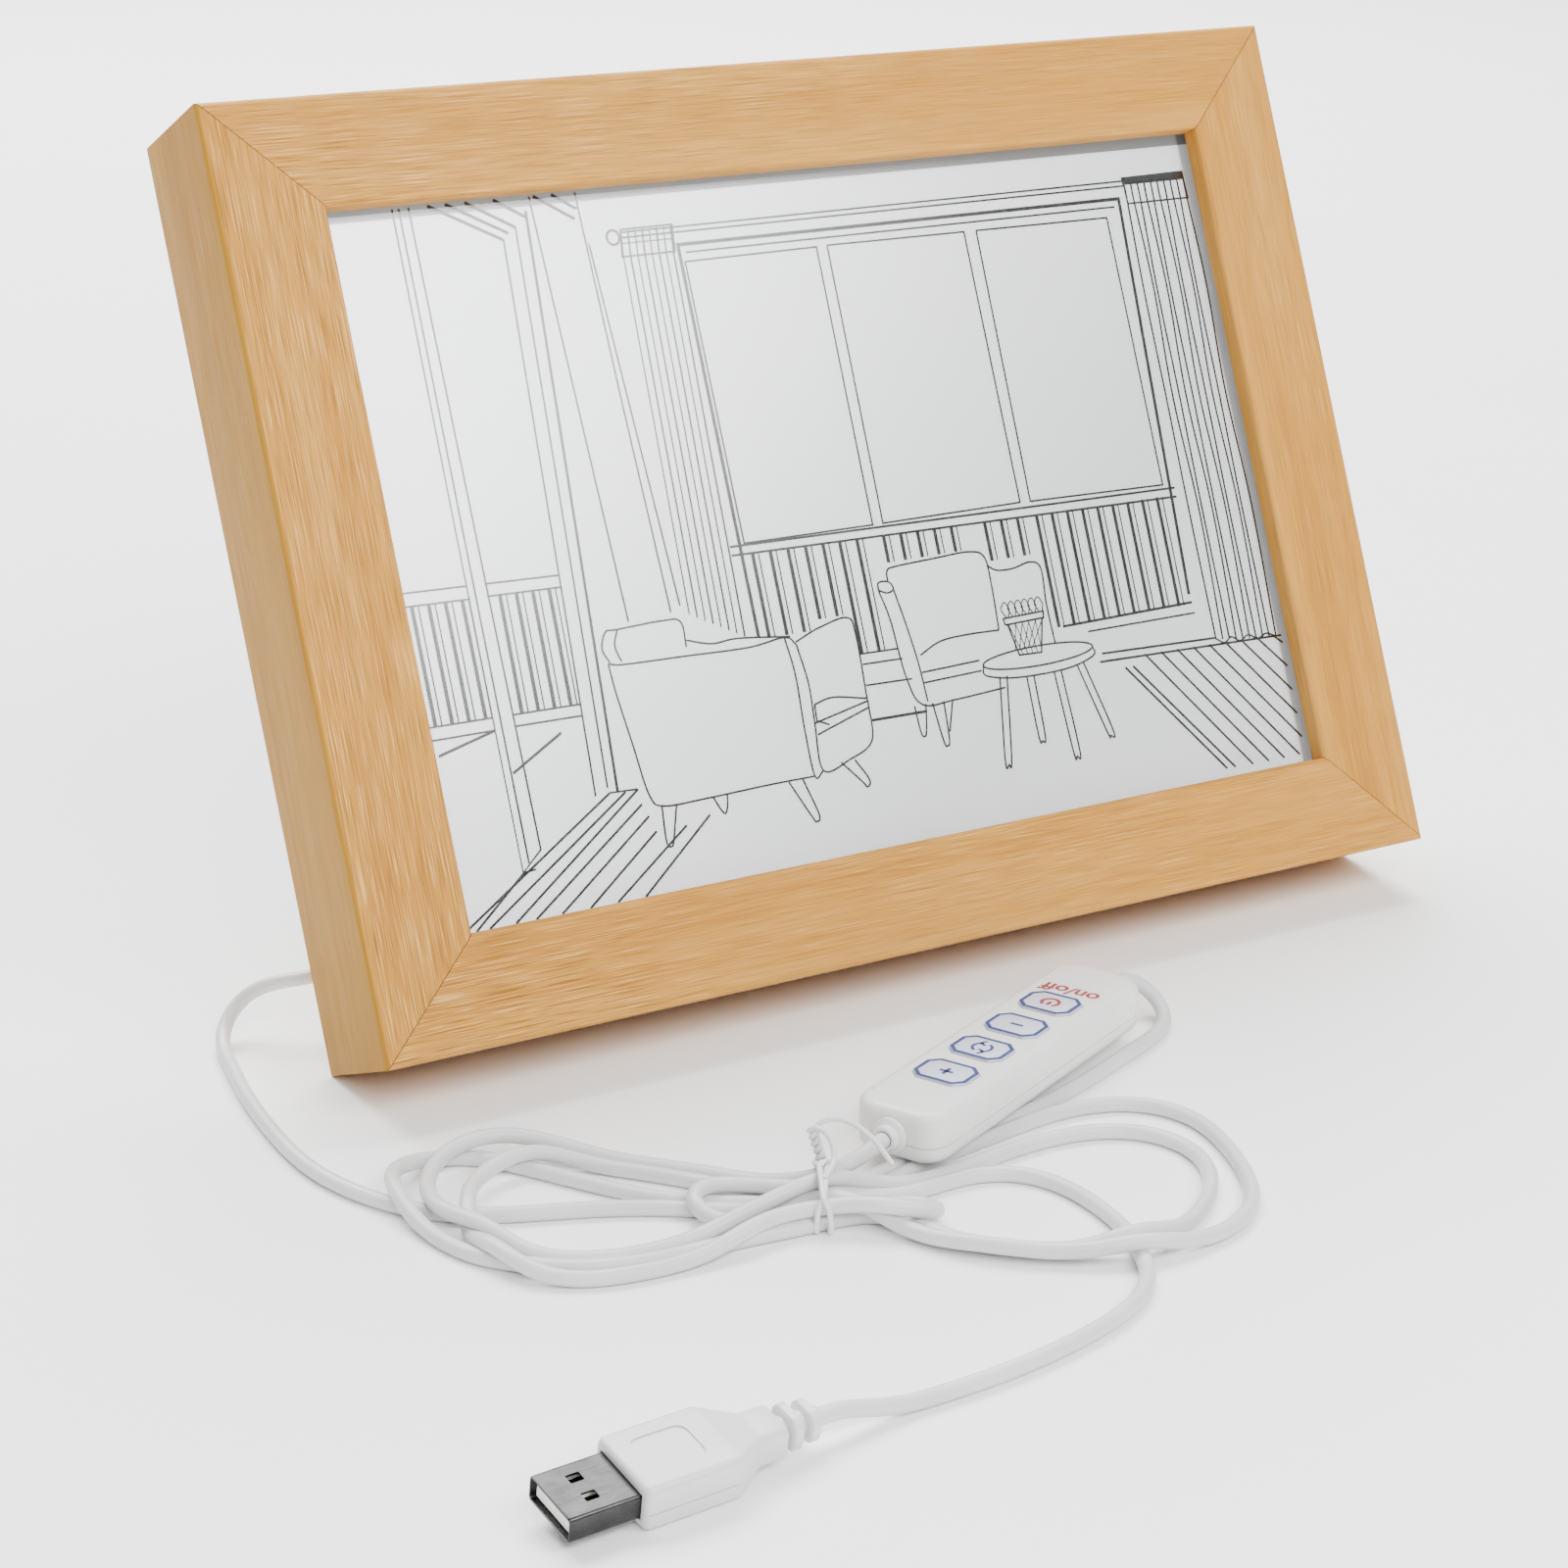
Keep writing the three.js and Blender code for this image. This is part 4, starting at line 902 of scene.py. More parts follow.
@dataclass
class Hank:
    """The lead, folded to and fro through a tie, settled so that its runs lie on and beside each other."""

    diameter: float = 3.0
    step: float = 2.5
    rounds: int = 400
    stiffness: int = 2
    tie_at: tuple[float, float] = (-72.0, -101.0)
    tie_along: tuple[float, float] = (0.874, -0.485)
    tie_half_width: float = 8.4
    tie_height: float = 6.8
    dimmer_at: tuple[float, float] = (-16.5, -74.0)
    dimmer_yaw: float = 26.0
    dimmer_base: float = 3.3
    dimmer_reach: tuple[float, float] = (41.0, 10.5)
    wire: float = 0.55

    def drawn(self) -> list[list[Point]]:
        """The two cords' routes as drawn: box to dimmer, and dimmer to plug."""
        first = LEAD + RIGHT_OUTER + LEFT_LOW + RIGHT_INNER + LEFT_TOP + INLET
        second = OUTLET + LEFT_MIDDLE + SHORT_RIGHT + SHORT_LEFT + TAIL
        return [first, second]

    def sampled(self, route: Sequence[Point], step: float) -> np.ndarray:
        """Even points along a centripetal curve through a route.

        Args:
            route: points that the curve passes through.
            step: spacing of the result.

        Returns:
            One row for each point.
        """
        p = np.array(route, float)
        q = np.vstack([2 * p[0] - p[1], p, 2 * p[-1] - p[-2]])
        out = []
        for i in range(1, len(p)):
            a, b, c, d = q[i - 1 : i + 3]
            knots = np.cumsum([0.0, *(np.linalg.norm(v) ** 0.5 for v in (b - a, c - b, d - c))])
            for t in np.linspace(knots[1], knots[2], 12, endpoint=False):
                one = [a, b, c, d]
                two = [
                    ((knots[k + 1] - t) * one[k] + (t - knots[k]) * one[k + 1]) / (knots[k + 1] - knots[k])
                    for k in range(3)
                ]
                three = [
                    ((knots[k + 2] - t) * two[k] + (t - knots[k]) * two[k + 1]) / (knots[k + 2] - knots[k])
                    for k in range(2)
                ]
                out.append(((knots[2] - t) * three[0] + (t - knots[1]) * three[1]) / (knots[2] - knots[1]))
        out.append(p[-1])
        line = np.array(out)
        along = np.r_[0, np.cumsum(np.linalg.norm(np.diff(line, axis=0), axis=1))]
        even = np.linspace(0, along[-1], max(2, round(along[-1] / step)) + 1)
        return np.stack([np.interp(even, along, line[:, k]) for k in range(3)], 1)

    def settled(self) -> list[np.ndarray]:
        """Pushes the drawn runs apart to a diameter, down on the desk and into the tie.

        Returns:
            One array of points for each cord.
        """
        cords = [self.sampled(route, self.step) for route in self.drawn()]
        drawn = np.vstack(cords)
        x = drawn.copy()
        owner = np.repeat(np.arange(len(cords)), [len(c) for c in cords])
        starts = np.cumsum([0, *(len(c) for c in cords)])
        held = np.zeros(len(x), bool)
        for a, b in zip(starts[:-1], starts[1:]):
            held[a : a + 3] = True
            held[b - 3 : b] = True
        free = (~held)[:, None]
        apart = int(math.ceil(2.2 * self.diameter / self.step)) + 1
        first, second = np.triu_indices(len(x), 1)
        keep = (owner[first] != owner[second]) | (second - first > apart)
        first, second = first[keep], second[keep]
        loose = (~held) & (drawn[:, 1] < -60)
        along = np.array(self.tie_along)
        across = np.array([-along[1], along[0]])
        yaw = math.radians(self.dimmer_yaw)
        dimmer_along = np.array([math.cos(yaw), math.sin(yaw)])
        dimmer_across = np.array([-math.sin(yaw), math.cos(yaw)])
        reach = self.diameter * 1.01
        rest = np.linalg.norm(np.diff(drawn, axis=0), axis=1)
        for turn in range(self.rounds):
            if turn % 5 == 0:
                close = np.linalg.norm(x[first] - x[second], axis=1) < reach + 3
                a, b = first[close], second[close]
            between = x[a] - x[b]
            gap = np.linalg.norm(between, axis=1) + 1e-9
            short = np.clip(reach - gap, 0, None)
            push = between / gap[:, None] * (short * 0.5)[:, None]
            moved = np.zeros_like(x)
            count = np.zeros(len(x))
            np.add.at(moved, a, push)
            np.add.at(moved, b, -push)
            np.add.at(count, a, short > 0)
            np.add.at(count, b, short > 0)
            x += moved / np.maximum(count, 1)[:, None] * free
            if turn < self.rounds * 0.8:
                x[:, :2] += (drawn[:, :2] - x[:, :2]) * 0.01 * free
                x[loose, 2] -= 0.02
            for s, e in zip(starts[:-1], starts[1:]):
                y = x[s:e]
                for _ in range(self.stiffness):
                    bend = np.zeros_like(y)
                    bend[2:-2] = (-y[:-4] + 4 * y[1:-3] - 6 * y[2:-2] + 4 * y[3:-1] - y[4:]) / 16
                    y += bend * 0.8 * free[s:e]
                    span = np.diff(y, axis=0)
                    long = np.linalg.norm(span, axis=1)
                    slack = span * ((1 - rest[s : e - 1] / long) * 0.5)[:, None]
                    y[:-1] += slack * free[s : e - 1]
                    y[1:] -= slack * free[s + 1 : e]
            x[~held, 2] = np.maximum(x[~held, 2], self.diameter / 2 + 0.03)
            plan = x[:, :2] - np.array(self.dimmer_at)
            under = (np.abs(plan @ dimmer_along) < self.dimmer_reach[0]) & (
                np.abs(plan @ dimmer_across) < self.dimmer_reach[1]
            ) & (~held) & (x[:, 2] < 6)
            x[under, 2] = np.minimum(x[under, 2], self.dimmer_base - self.diameter / 2)
            plan = x[:, :2] - np.array(self.tie_at)
            side = plan @ across
            inside = (np.abs(plan @ along) < 3) & (np.abs(side) < 16) & (~held)
            wide = inside & (np.abs(side) > self.tie_half_width)
            x[wide, :2] -= np.outer((side[wide] - np.sign(side[wide]) * self.tie_half_width) * 0.5, across)
            high = inside & (x[:, 2] > self.tie_height)
            x[high, 2] -= (x[high, 2] - self.tie_height) * 0.5
        return [x[s:e] for s, e in zip(starts[:-1], starts[1:])]

    def curve(
        self, name: str, points: np.ndarray, material: bpy.types.Material
    ) -> tuple[bpy.types.Object, float]:
        """One round cord as a curve of one open spline.

        Args:
            name: the piece's name.
            points: its centreline in millimetres.
            material: its finish.

        Returns:
            The object and its length in metres.
        """
        fine = self.sampled([tuple(p) for p in points], 1.25)
        world = [DESK @ (Vector(p) * MM) for p in fine]
        data = bpy.data.curves.new(name, "CURVE")
        data.dimensions = "3D"
        data.bevel_depth = self.diameter / 2 * MM
        data.bevel_resolution = 6
        data.use_fill_caps = True
        spline = data.splines.new("POLY")
        spline.points.add(len(world) - 1)
        for point, place in zip(spline.points, world):
            point.co = (*place, 1)
        spline.use_smooth = True
        data.materials.append(material)
        piece = bpy.data.objects.new(name, data)
        bpy.context.scene.collection.objects.link(piece)
        length = sum((b - a).length for a, b in zip(world, world[1:]))
        return piece, length

    def build(self, finishes: Finishes) -> None:
        """Args:
            finishes: every finish, by key.
        """
        first, second = self.settled()
        lead, lead_length = self.curve("lead_box_to_dimmer", first, finishes["tpe"])
        tail, tail_length = self.curve("lead_dimmer_to_plug", second, finishes["tpe"])
        for piece in (lead, tail):
            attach(piece, Body.BOX.value)
        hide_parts("cord_lead", "cord_hank", "cord_inlet")
        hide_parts("cord_outlet", "cord_tail")
        self.lead, self.tail = lead, tail
        self.ends = (DESK @ (Vector(first[0]) * MM), DESK @ (Vector(second[0]) * MM))
        self.lengths = (lead_length, tail_length)
        self.tie(np.vstack([first, second]), finishes)
        log.info("cords: %.3f m and %.3f m", lead_length, tail_length)

    def tie(self, points: np.ndarray, finishes: Finishes) -> None:
        """The wire tie, drawn tight round the bundle where it crosses the tie's plane.

        Args:
            points: both cords' centrelines, one row for each point.
            finishes: every finish, by key.
        """
        along = np.array(self.tie_along)
        across = np.array([-along[1], along[0]])
        plan = points[:, :2] - np.array(self.tie_at)
        crossing = (np.abs(plan @ along) < 1.3) & (np.abs(plan @ across) < 12)
        wire = self.wire
        reach = self.diameter / 2 + wire + 0.05
        cloud = []
        for side, height in zip((plan @ across)[crossing], points[crossing, 2]):
            for i in range(16):
                angle = 2 * math.pi * i / 16
                cloud.append((side + reach * math.cos(angle), max(height + reach * math.sin(angle), wire)))
        outline = [cloud[i] for i in convex_hull_2d(cloud)]
        centre = Vector((0, max(p[1] for p in outline) / 2))
        outline.sort(key=lambda p: math.atan2(p[1] - centre.y, p[0] - centre.x))

        def at(slide: float, side: float, height: float) -> Vector:
            """A place by the tie: along the bundle, across it and above the desk."""
            plan_x = self.tie_at[0] + along[0] * slide + across[0] * side
            plan_y = self.tie_at[1] + along[1] * slide + across[1] * side
            return DESK @ (Vector((plan_x, plan_y, height)) * MM)

        top = max(outline, key=lambda p: p[1] + 0.45 * p[0])
        start = outline.index(top)
        ordered = outline[start:] + outline[:start] + [outline[start]]
        count = len(ordered) - 1

        def wrap(swing: float, lift: float) -> list[Point]:
            """One turn of wire round the bundle.

            Args:
                swing: how far it leans along the bundle, from the top to the underside.
                lift: how far it bows out at the sides.

            Returns:
                Places for at().
            """
            points = []
            for i, (side, height) in enumerate(ordered):
                turn = 2 * math.pi * i / count
                away = Vector((side, height)) - centre
                away += away.normalized() * lift * abs(math.sin(turn))
                points.append((root + swing * math.cos(turn), centre.x + away.x, max(centre.y + away.y, wire)))
            return points

        root = -0.6
        wraps = [wrap(1.3, 0.0), wrap(-1.3, 1.0)]
        knot_side, knot_height = top[0] + 1.1, top[1]
        turns = 2.0
        twists: list[list[Point]] = [[], []]
        for i in range(int(turns * 10) + 1):
            angle = 2 * math.pi * i / 10
            rise = knot_height + 0.3 + 5.6 * i / (turns * 10)
            lean_left = -0.28 * (rise - knot_height)
            for k, half in enumerate((0.0, math.pi)):
                twists[k].append(
                    (
                        root + lean_left + 0.58 * math.cos(angle + half),
                        knot_side + 0.58 * math.sin(angle + half), rise
                    )
                )
        end, front = twists[0][-1], twists[1][-1]
        arch = [
            twists[0][-2], end, (
                end[0] + 0.6, end[1] + 0.2, end[2] + 1.4
            ), (end[0] + 3.2, end[1] + 0.2, end[2] + 2.4),
            (end[0] + 6.6, end[1] - 0.8, end[2] + 1.9), (end[0] + 10, end[1] - 2.4, end[2] - 0.2),
            (end[0] + 12.4, end[1] - 4.2, end[2] - 2.8), (end[0] + 13.6, end[1] - 5.2, end[2] - 4.4),
        ]
        drop = [
            twists[1][-2], front, (
                front[0] + 1.4, front[1] - 0.6, front[2] + 0.9
            ), (front[0] + 3.4, front[1] - 2, front[2] + 0.2),
            (front[0] + 4.4, front[1] - 3.8, front[2] - 1.8), (front[0] + 4.4, front[1] - 5.6, front[2] - 3.2),
            (front[0] + 3.6, front[1] - 8.2, front[2] - 3.9), (front[0] + 2.4, front[1] - 10.2, front[2] - 4.6),
        ]
        strands = [[tuple(at(*p)) for p in strand] for strand in (*wraps, *twists, arch, drop)]
        data = bpy.data.curves.new("tie_wire", "CURVE")
        data.dimensions = "3D"
        data.bevel_depth = wire * MM
        data.bevel_resolution = 4
        data.use_fill_caps = True
        for strand in strands:
            spline = data.splines.new("NURBS")
            spline.points.add(len(strand) - 1)
            for point, place in zip(spline.points, strand):
                point.co = (*place, 1)
            spline.use_endpoint_u = True
            spline.order_u = 3
        data.materials.append(finishes["tie"])
        piece = bpy.data.objects.new("tie_wire", data)
        bpy.context.scene.collection.objects.link(piece)
        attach(piece, Body.BOX.value)
        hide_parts("twist_tie")


# ------------------------------------------------------------------ frame mouldings
@dataclass
class FrameMouldings:
    """Four foil-wrapped lengths, mitred, with round outer and sight edges."""

    width: float = 250.0
    height: float = 186.0
    depth: float = 32.0
    face: float = 22.2
    lip: float = 5.0
    reach: float = 6.0
    outer_round: float = 1.4
    lip_round: float = 1.2
    mitre_gap: float = 0.22

    def section(self) -> list[tuple[float, float]]:
        """The moulding's outline: in from the outer edge, and back from the front face.

        Returns:
            Pairs of (in from the outer edge, back from the front face).
        """
        points = []

        def arc(cx: float, cy: float, radius: float, start: float, end: float) -> None:
            """Adds a round of nine points between two angles in degrees."""
            for i in range(9):
                angle = math.radians(start + (end - start) * i / 8)
                points.append((cx + radius * math.cos(angle), cy + radius * math.sin(angle)))

        arc(self.outer_round, self.outer_round, self.outer_round, 180, 270)
        arc(self.face - self.lip_round, self.lip_round, self.lip_round, -90, 0)
        points.append((self.face, self.lip - 0.3))
        points.append((self.face - 0.3, self.lip))
        wall = self.face - self.reach
        points += [(wall, self.lip), (wall, self.depth - 0.2), (wall - 0.2, self.depth)]
        arc(0.5, self.depth - 0.5, 0.5, 90, 180)
        return points

    def length(self, span: float, parts: int = 24) -> bpy.types.Mesh:
        """One mitred length along X, its outer edge at height 0.

        Args:
            span: its length at the outer edge.
            parts: steps along it.

        Returns:
            A mesh in millimetres.
        """
        rings = []
        pull = self.mitre_gap / 2
        for i in range(parts + 1):
            share = 2 * i / parts - 1
            rings.append([(share * (span / 2 - u - pull), v - self.depth, u) for u, v in self.section()])
        return loft(rings)

    def build(self, finishes: Finishes) -> None:
        """Makes the four lengths and dresses them.

        Args:
            finishes: every finish, by key.
        """
        middle = self.height / 2
        plans = [
            ("frame_rail_bottom", self.width, Matrix.Identity(4), "oak_along"),
            (
                "frame_rail_top", self.width,
                Matrix.Translation((0, 0, self.height)) @ Matrix.Rotation(math.pi, 4, "Y"), "oak_along"
            ),
            (
                "frame_stile_left", self.height,
                Matrix.Translation((-self.width / 2, 0, middle)) @ Matrix.Rotation(math.pi / 2, 4, "Y"),
                "oak_up"
            ),
            (
                "frame_stile_right", self.height,
                Matrix.Translation((self.width / 2, 0, middle)) @ Matrix.Rotation(-math.pi / 2, 4, "Y"),
                "oak_up"
            ),
        ]
        for node, span, turn, key in plans:
            mesh = self.length(span)
            mesh.transform(turn)
            piece = make_object(node.replace("frame_", "foil_"), mesh, STANDING, finishes[key])
            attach(piece, Body.BOX.value)
            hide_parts(node)
        self.corner_nails(finishes)

    def corner_nails(self, finishes: Finishes) -> None:
        """Two pressed V nails across each mitre, flush in the rear face.

        Args:
            finishes: every finish, by key.
        """
        vertices, faces = [], []
        for sx in (-1, 1):
            for sz in (-1, 1):
                for inset in (5.0, 11.0):
                    x = sx * (self.width / 2 - inset)
                    z = self.height / 2 + sz * (self.height / 2 - inset)
                    arms = [(x - sx * 3.2, z + sz * 0.6), (x, z), (x + sx * 0.6, z - sz * 3.2)]
                    flat, quads = ribbon(arms, 0.7)
                    base = len(vertices)
                    for depth in (0.02, 0.12):
                        vertices += [(a, depth, b) for a, b in flat]
                    n = len(flat)
                    for quad in quads:
                        faces.append(tuple(base + i for i in quad))
                        faces.append(tuple(base + n + i for i in reversed(quad)))
                    edge = [0, 2, 4, 5, 3, 1]
                    for i, a in enumerate(edge):
                        b = edge[(i + 1) % 6]
                        faces.append((base + a, base + b, base + n + b, base + n + a))
        mesh = bpy.data.meshes.new("corner_nails")
        mesh.from_pydata(vertices, [], faces)
        piece = make_object("corner_nails", mesh, STANDING, finishes["zinc"])
        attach(piece, Body.BOX.value)


# ------------------------------------------------------------------ the printed drawing
@dataclass
class RoomDrawing:
    """A generic sitting room in thin black line: window, railing, curtains, two armchairs and a table."""

    sight_width: float = 205.6
    face_y: float = -24.46
    thin: float = 0.42
    bold: float = 0.85
    strokes: list = field(default_factory=list)

    def line(self, *points: tuple[float, float], width: float = 0.0) -> None:
        """Adds a straight-sided stroke."""
        self.strokes.append((list(points), width or self.thin, False))

    def curve(self, *points: tuple[float, float], width: float = 0.0) -> None:
        """Adds a smooth stroke."""
        self.strokes.append((smooth_line(points), width or self.thin, False))

    def oval(self, centre: tuple[float, float], rx: float, ry: float, width: float = 0.0) -> None:
        """Adds a closed oval stroke.

        Args:
            centre: its middle.
            rx: half its width.
            ry: half its height.
            width: the line's width, or 0 for the thin line.
        """
        points = []
        for i in range(32):
            angle = 2 * math.pi * i / 32
            points.append((centre[0] + rx * math.cos(angle), centre[1] + ry * math.sin(angle)))
        self.strokes.append((points, width or self.thin, True))

    def slats(
        self, first: float, last: float, top: float, foot: float, pitch: float, tilt: float = 0.0
    ) -> None:
        """Adds upright railing slats: a heavy stroke with a fine one beside it.

        Args:
            first: place of the first slat.
            last: limit for the last one.
            top: height of the upper rail.
            foot: height of the lower rail.
            pitch: spacing.
            tilt: how far each foot leans to the left.
        """
        x = first
        while x <= last:
            self.line((x, top), (x - tilt, foot), width=self.bold)
            self.line((x + 1.35, top), (x + 1.35 - tilt, foot), width=self.thin * 0.8)
            x += pitch

    def balcony_door(self) -> None:
        """The door's post, its balcony railing and its frame, at the left."""
        self.line((15.9, 141.6), (15.6, 9.4), (20.2, 13.2), (19.4, 141.6))
        self.line((15.6, 9.4), (18.4, 9.6))
        self.line((17.3, 141.6), (17.2, 11))
        self.line((38.2, 133.4), (34, 21.4))
        self.line((41.3, 135.7), (36.9, 22.6))
        self.line((44.2, 138.8), (38.9, 21.4), width=self.thin * 1.5)
        beams = [
            ((23.4, 141.6), (38.2, 133.4)), ((27.2, 141.6), (39.6, 134.6)), ((31.4, 141.6), (41.3, 135.7)),
            ((37.6, 141.6), (44.2, 137.4)), ((46.4, 141.6), (54.6, 136.2)), ((50.4, 141.6), (55.4, 138.2)),
        ]
        for start, end in beams:
            self.line(start, end, width=self.thin * 1.7)
        self.line((0, 66.9), (16, 66.4))
        self.line((0, 64.2), (16, 63.8))
        self.line((19.5, 66.3), (35.5, 65.8))
        self.line((19.5, 63.8), (35.4, 63.4))
        self.line((0, 40.4), (15.8, 40.2))
        self.line((0, 37.8), (15.8, 37.7))
        self.line((19.9, 40.1), (34.7, 39.9))
        self.line((19.9, 37.8), (34.6, 37.6))
        self.slats(3.6, 15, 63.9, 40.4, 3.55)
        self.slats(22.3, 34, 63.7, 40, 3.55, 0.3)
        self.line((3, 34.6), (15.7, 37.7), width=self.thin * 1.4)
        self.line((17.6, 28.8), (29.4, 35), width=self.thin * 1.4)
        self.line((55.7, 141.6), (56.8, 100), (58.3, 55))
        self.line((56.6, 131), (60.6, 56))
        self.line((45.5, 141.6), (48.6, 54.5))

    def curtains(self) -> None:
        """The rod with its ring end, and gathered curtains on both sides."""
        self.line((64, 132.6), (188.4, 132.9))
        self.line((64, 131.5), (188.4, 131.8))
        self.oval((62.2, 131.7), 1.4, 1.5, width=self.thin * 1.3)
        self.line((187.8, 132.9), (204.6, 133.1), width=1.7)
        self.line((64.2, 133.2), (76, 133.2), (75.5, 127.6), (63.4, 127.6), (64.2, 133.2))
        self.line((64, 130.3), (75.8, 130.3), width=self.thin * 0.7)
        for i in range(8):
            x = 64.2 + 1.63 * i
            self.line(
                (x, 133.2), (x - 0.5, 127.6), (x - 1.9, 54 - 0.9 * i), width=self.thin * (1.0 if i % 2 else 0.8)
            )
        self.line((188.2, 132.2), (204.4, 132.2), (204.6, 127.8), (188.3, 127.8), (188.2, 132.2))
        for i in range(10):
            x = 188.3 + 1.78 * i
            sway = 0.5 if i % 2 else -0.4
            self.curve(
                (x, 132), (x, 127.8), (x + sway, 108), (x - 0.3, 84), (x + sway, 58), (x - 0.2, 30 - 0.2 * i),
                width=self.thin * 1.1
            )
        self.curve(
            (188.1, 30.2), (190.2, 29), (192.2, 30), (194.4, 28.8), (196.8, 29.8), (199.2, 28.6), (201.6, 29.4),
            (204.2, 28.4)
        )

    def window(self) -> None:
        """Three tall panes over a sill, with a railing and a bench below."""
        self.line((76.8, 47), (76.4, 128.9), (186.1, 129.1), (183.4, 40.8), width=self.thin * 1.9)
        self.line((77.9, 127.2), (184.6, 127.4))
        self.line((77.3, 125.3), (108.4, 125.5), (108.4, 66.3), (77.8, 66.5), (77.3, 125.3))
        self.line((111, 125.6), (144.9, 125.4), (145.2, 66.3), (110.9, 66.3), (111, 125.6))
        self.line((148, 125.4), (182, 125.2), (182.4, 65.4), (147.8, 66.2), (148, 125.4))
        self.line((74.4, 66.2), (185.4, 64.4), width=self.thin * 1.2)
        self.line((74.4, 64.4), (185.4, 62.4), width=self.thin * 1.2)
        self.slats(79.2, 88, 64.2, 46.6, 4.15)
        self.slats(91.65, 97, 63.9, 48.7, 4.15)
        self.slats(99.8, 105, 63.8, 40, 4.15)
        self.slats(110.4, 131, 63.6, 58, 4.15)
        self.slats(135.4, 146, 63.2, 54.9, 4.15)
        self.slats(148.6, 183, 62.9, 38.6, 3.95)
        self.line((99.6, 40.2), (108.4, 40))
        self.line((99.4, 38), (109, 37.8))
        self.line((99.2, 33.6), (110.4, 33.3))
        self.line((99, 26.3), (112.4, 26.1), width=self.thin * 1.4)
        self.line((149.6, 38.6), (183.8, 39), width=self.thin * 1.4)
        self.line((155.6, 36.6), (184, 36.6))
        self.line((158, 31.4), (188, 30.4), width=self.thin * 1.2)

    def chair_near(self) -> None:
        """The nearer armchair, seen from behind."""
        self.curve(
            (42.4, 46.8), (42.8, 41), (44.2, 30), (45.6, 19.6), (48.4, 17), (58, 16.9), (72, 17.2), (83.2, 17.2)
        )
        self.curve((42.4, 46.8), (46, 46.2), (60, 45.8), (74, 45.4), (82.6, 46.2), (85, 44.4))
        self.curve((82.6, 46.2), (83.4, 38), (83, 27), (83.2, 17.2), (85.4, 18))
        self.curve((85, 44.4), (86, 36), (85.6, 27.8), (85.4, 18), (92, 19.2), (98, 22.2), (98.9, 30.4))
        self.curve((42.8, 47), (41.7, 50), (43.2, 53.2), (45.8, 53.3), (56, 53.6), (60, 52.8), (60.2, 47.6))
        self.curve((45.8, 53.3), (44.6, 50.2), (45.4, 46.8))
        self.curve((60.2, 49), (66, 47.4), (72, 47.6), (84, 46.2))
        self.curve((85, 44.9), (91, 47), (98, 48.1), (99.2, 44), (98.8, 30.4))
        self.line((85.6, 27.8), (98.8, 30.4))
        self.line((85.8, 25.4), (98.6, 29))
        self.curve((86.4, 31.6), (91, 32.4), (98.6, 31))
        self.line((86.4, 31.6), (86.2, 28.2), (89, 27))
        for top, foot in (
            ((49.4, 17), (48.2, 8.8)), ((61, 17), (61.4, 13.2)), ((78.6, 17), (81.6, 8)),
            ((91.4, 19), (94.8, 13))
        ):
            self.curve(
                (top[0] - 1.6, top[1]), (foot[0] - 0.9, foot[1] + 1.2), (foot[0], foot[1]),
                (foot[0] + 0.8, foot[1] + 1.4), (top[0] + 1.7, top[1])
            )

    def chair_far(self) -> None:
        """The farther armchair, seen from the side."""
        self.curve((106.6, 52.6), (108, 46), (109, 34), (111.6, 27.6), (120, 27.4), (132.4, 28))
        self.curve((106.6, 52.6), (107, 54.2), (109.4, 54), (110.2, 52.4), (108.6, 51.8), (106.6, 52.6))
        self.curve((110.2, 52.4), (111.6, 44), (112.6, 36), (113, 28))
        self.curve(
            (109.2, 54), (109.6, 56.4), (112, 57), (122, 57.4), (130, 57.6), (133.6, 56), (134, 50),
            (133.6, 40.2)
        )
        self.curve((113.4, 37.8), (119, 40), (126, 40.4), (133.6, 40.2))
        self.curve(
            (133.8, 54.2), (136, 52.8), (140, 52.6), (144.6, 53.4), (147, 51.6), (146.6, 44), (146.8, 35.6)
        )
        self.line((113, 34.2), (127.4, 34.6))
        self.line((113, 32), (127.4, 32.4))
        for top, foot in (((111, 27.6), (110.6, 21)), ((115.4, 27.6), (115.6, 18.2))):
            self.curve(
                (top[0] - 1.4, top[1]), (foot[0] - 0.7, foot[1] + 1), foot, (foot[0] + 0.7, foot[1] + 1.2),
                (top[0] + 1.4, top[1])
            )
        self.line((119, 27.6), (116.8, 21))

    def table(self) -> None:
        """The round side table with four splayed legs and a plant in a woven basket."""
        self.oval((142, 33.4), 14, 2.1)
        self.curve(
            (128, 33.2), (128.2, 31.2), (134, 29.8), (142, 29.4), (150, 29.8), (155.8, 31.4), (156, 33.2)
        )
        for top, foot in (
            ((132.4, 30.4), (129.4, 11.8)), ((139, 29.6), (138.8, 15.4)), ((146, 29.6), (146.6, 10.8)),
            ((152, 30.2), (156, 13.8))
        ):
            self.curve(
                (top[0] - 0.9, top[1]), (foot[0] - 0.7, foot[1] + 1), (foot[0], foot[1]),
                (foot[0] + 0.9, foot[1] + 1), (top[0] + 0.9, top[1])
            )
        self.line((136, 41), (137.4, 34.2), (143, 34), (144.8, 41.2))
        self.line((135.4, 41), (145.2, 41.2), (145.4, 42.6), (135.2, 42.4), (135.4, 41))
        for i in range(5):
            self.line((136.2 + 1.7 * i, 41), (138.4 + 1.2 * i, 34.1), width=0.24)
            self.line((138 + 1.7 * i, 41), (136.6 + 1.1 * i, 35.4), width=0.24)
        for i in range(6):
            x = 136 + 1.7 * i
            self.curve((x, 42.6), (x - 0.9, 44.4), (x + 0.2, 45.8), (x + 1.1, 44.2), (x + 0.6, 42.6), width=0.3)

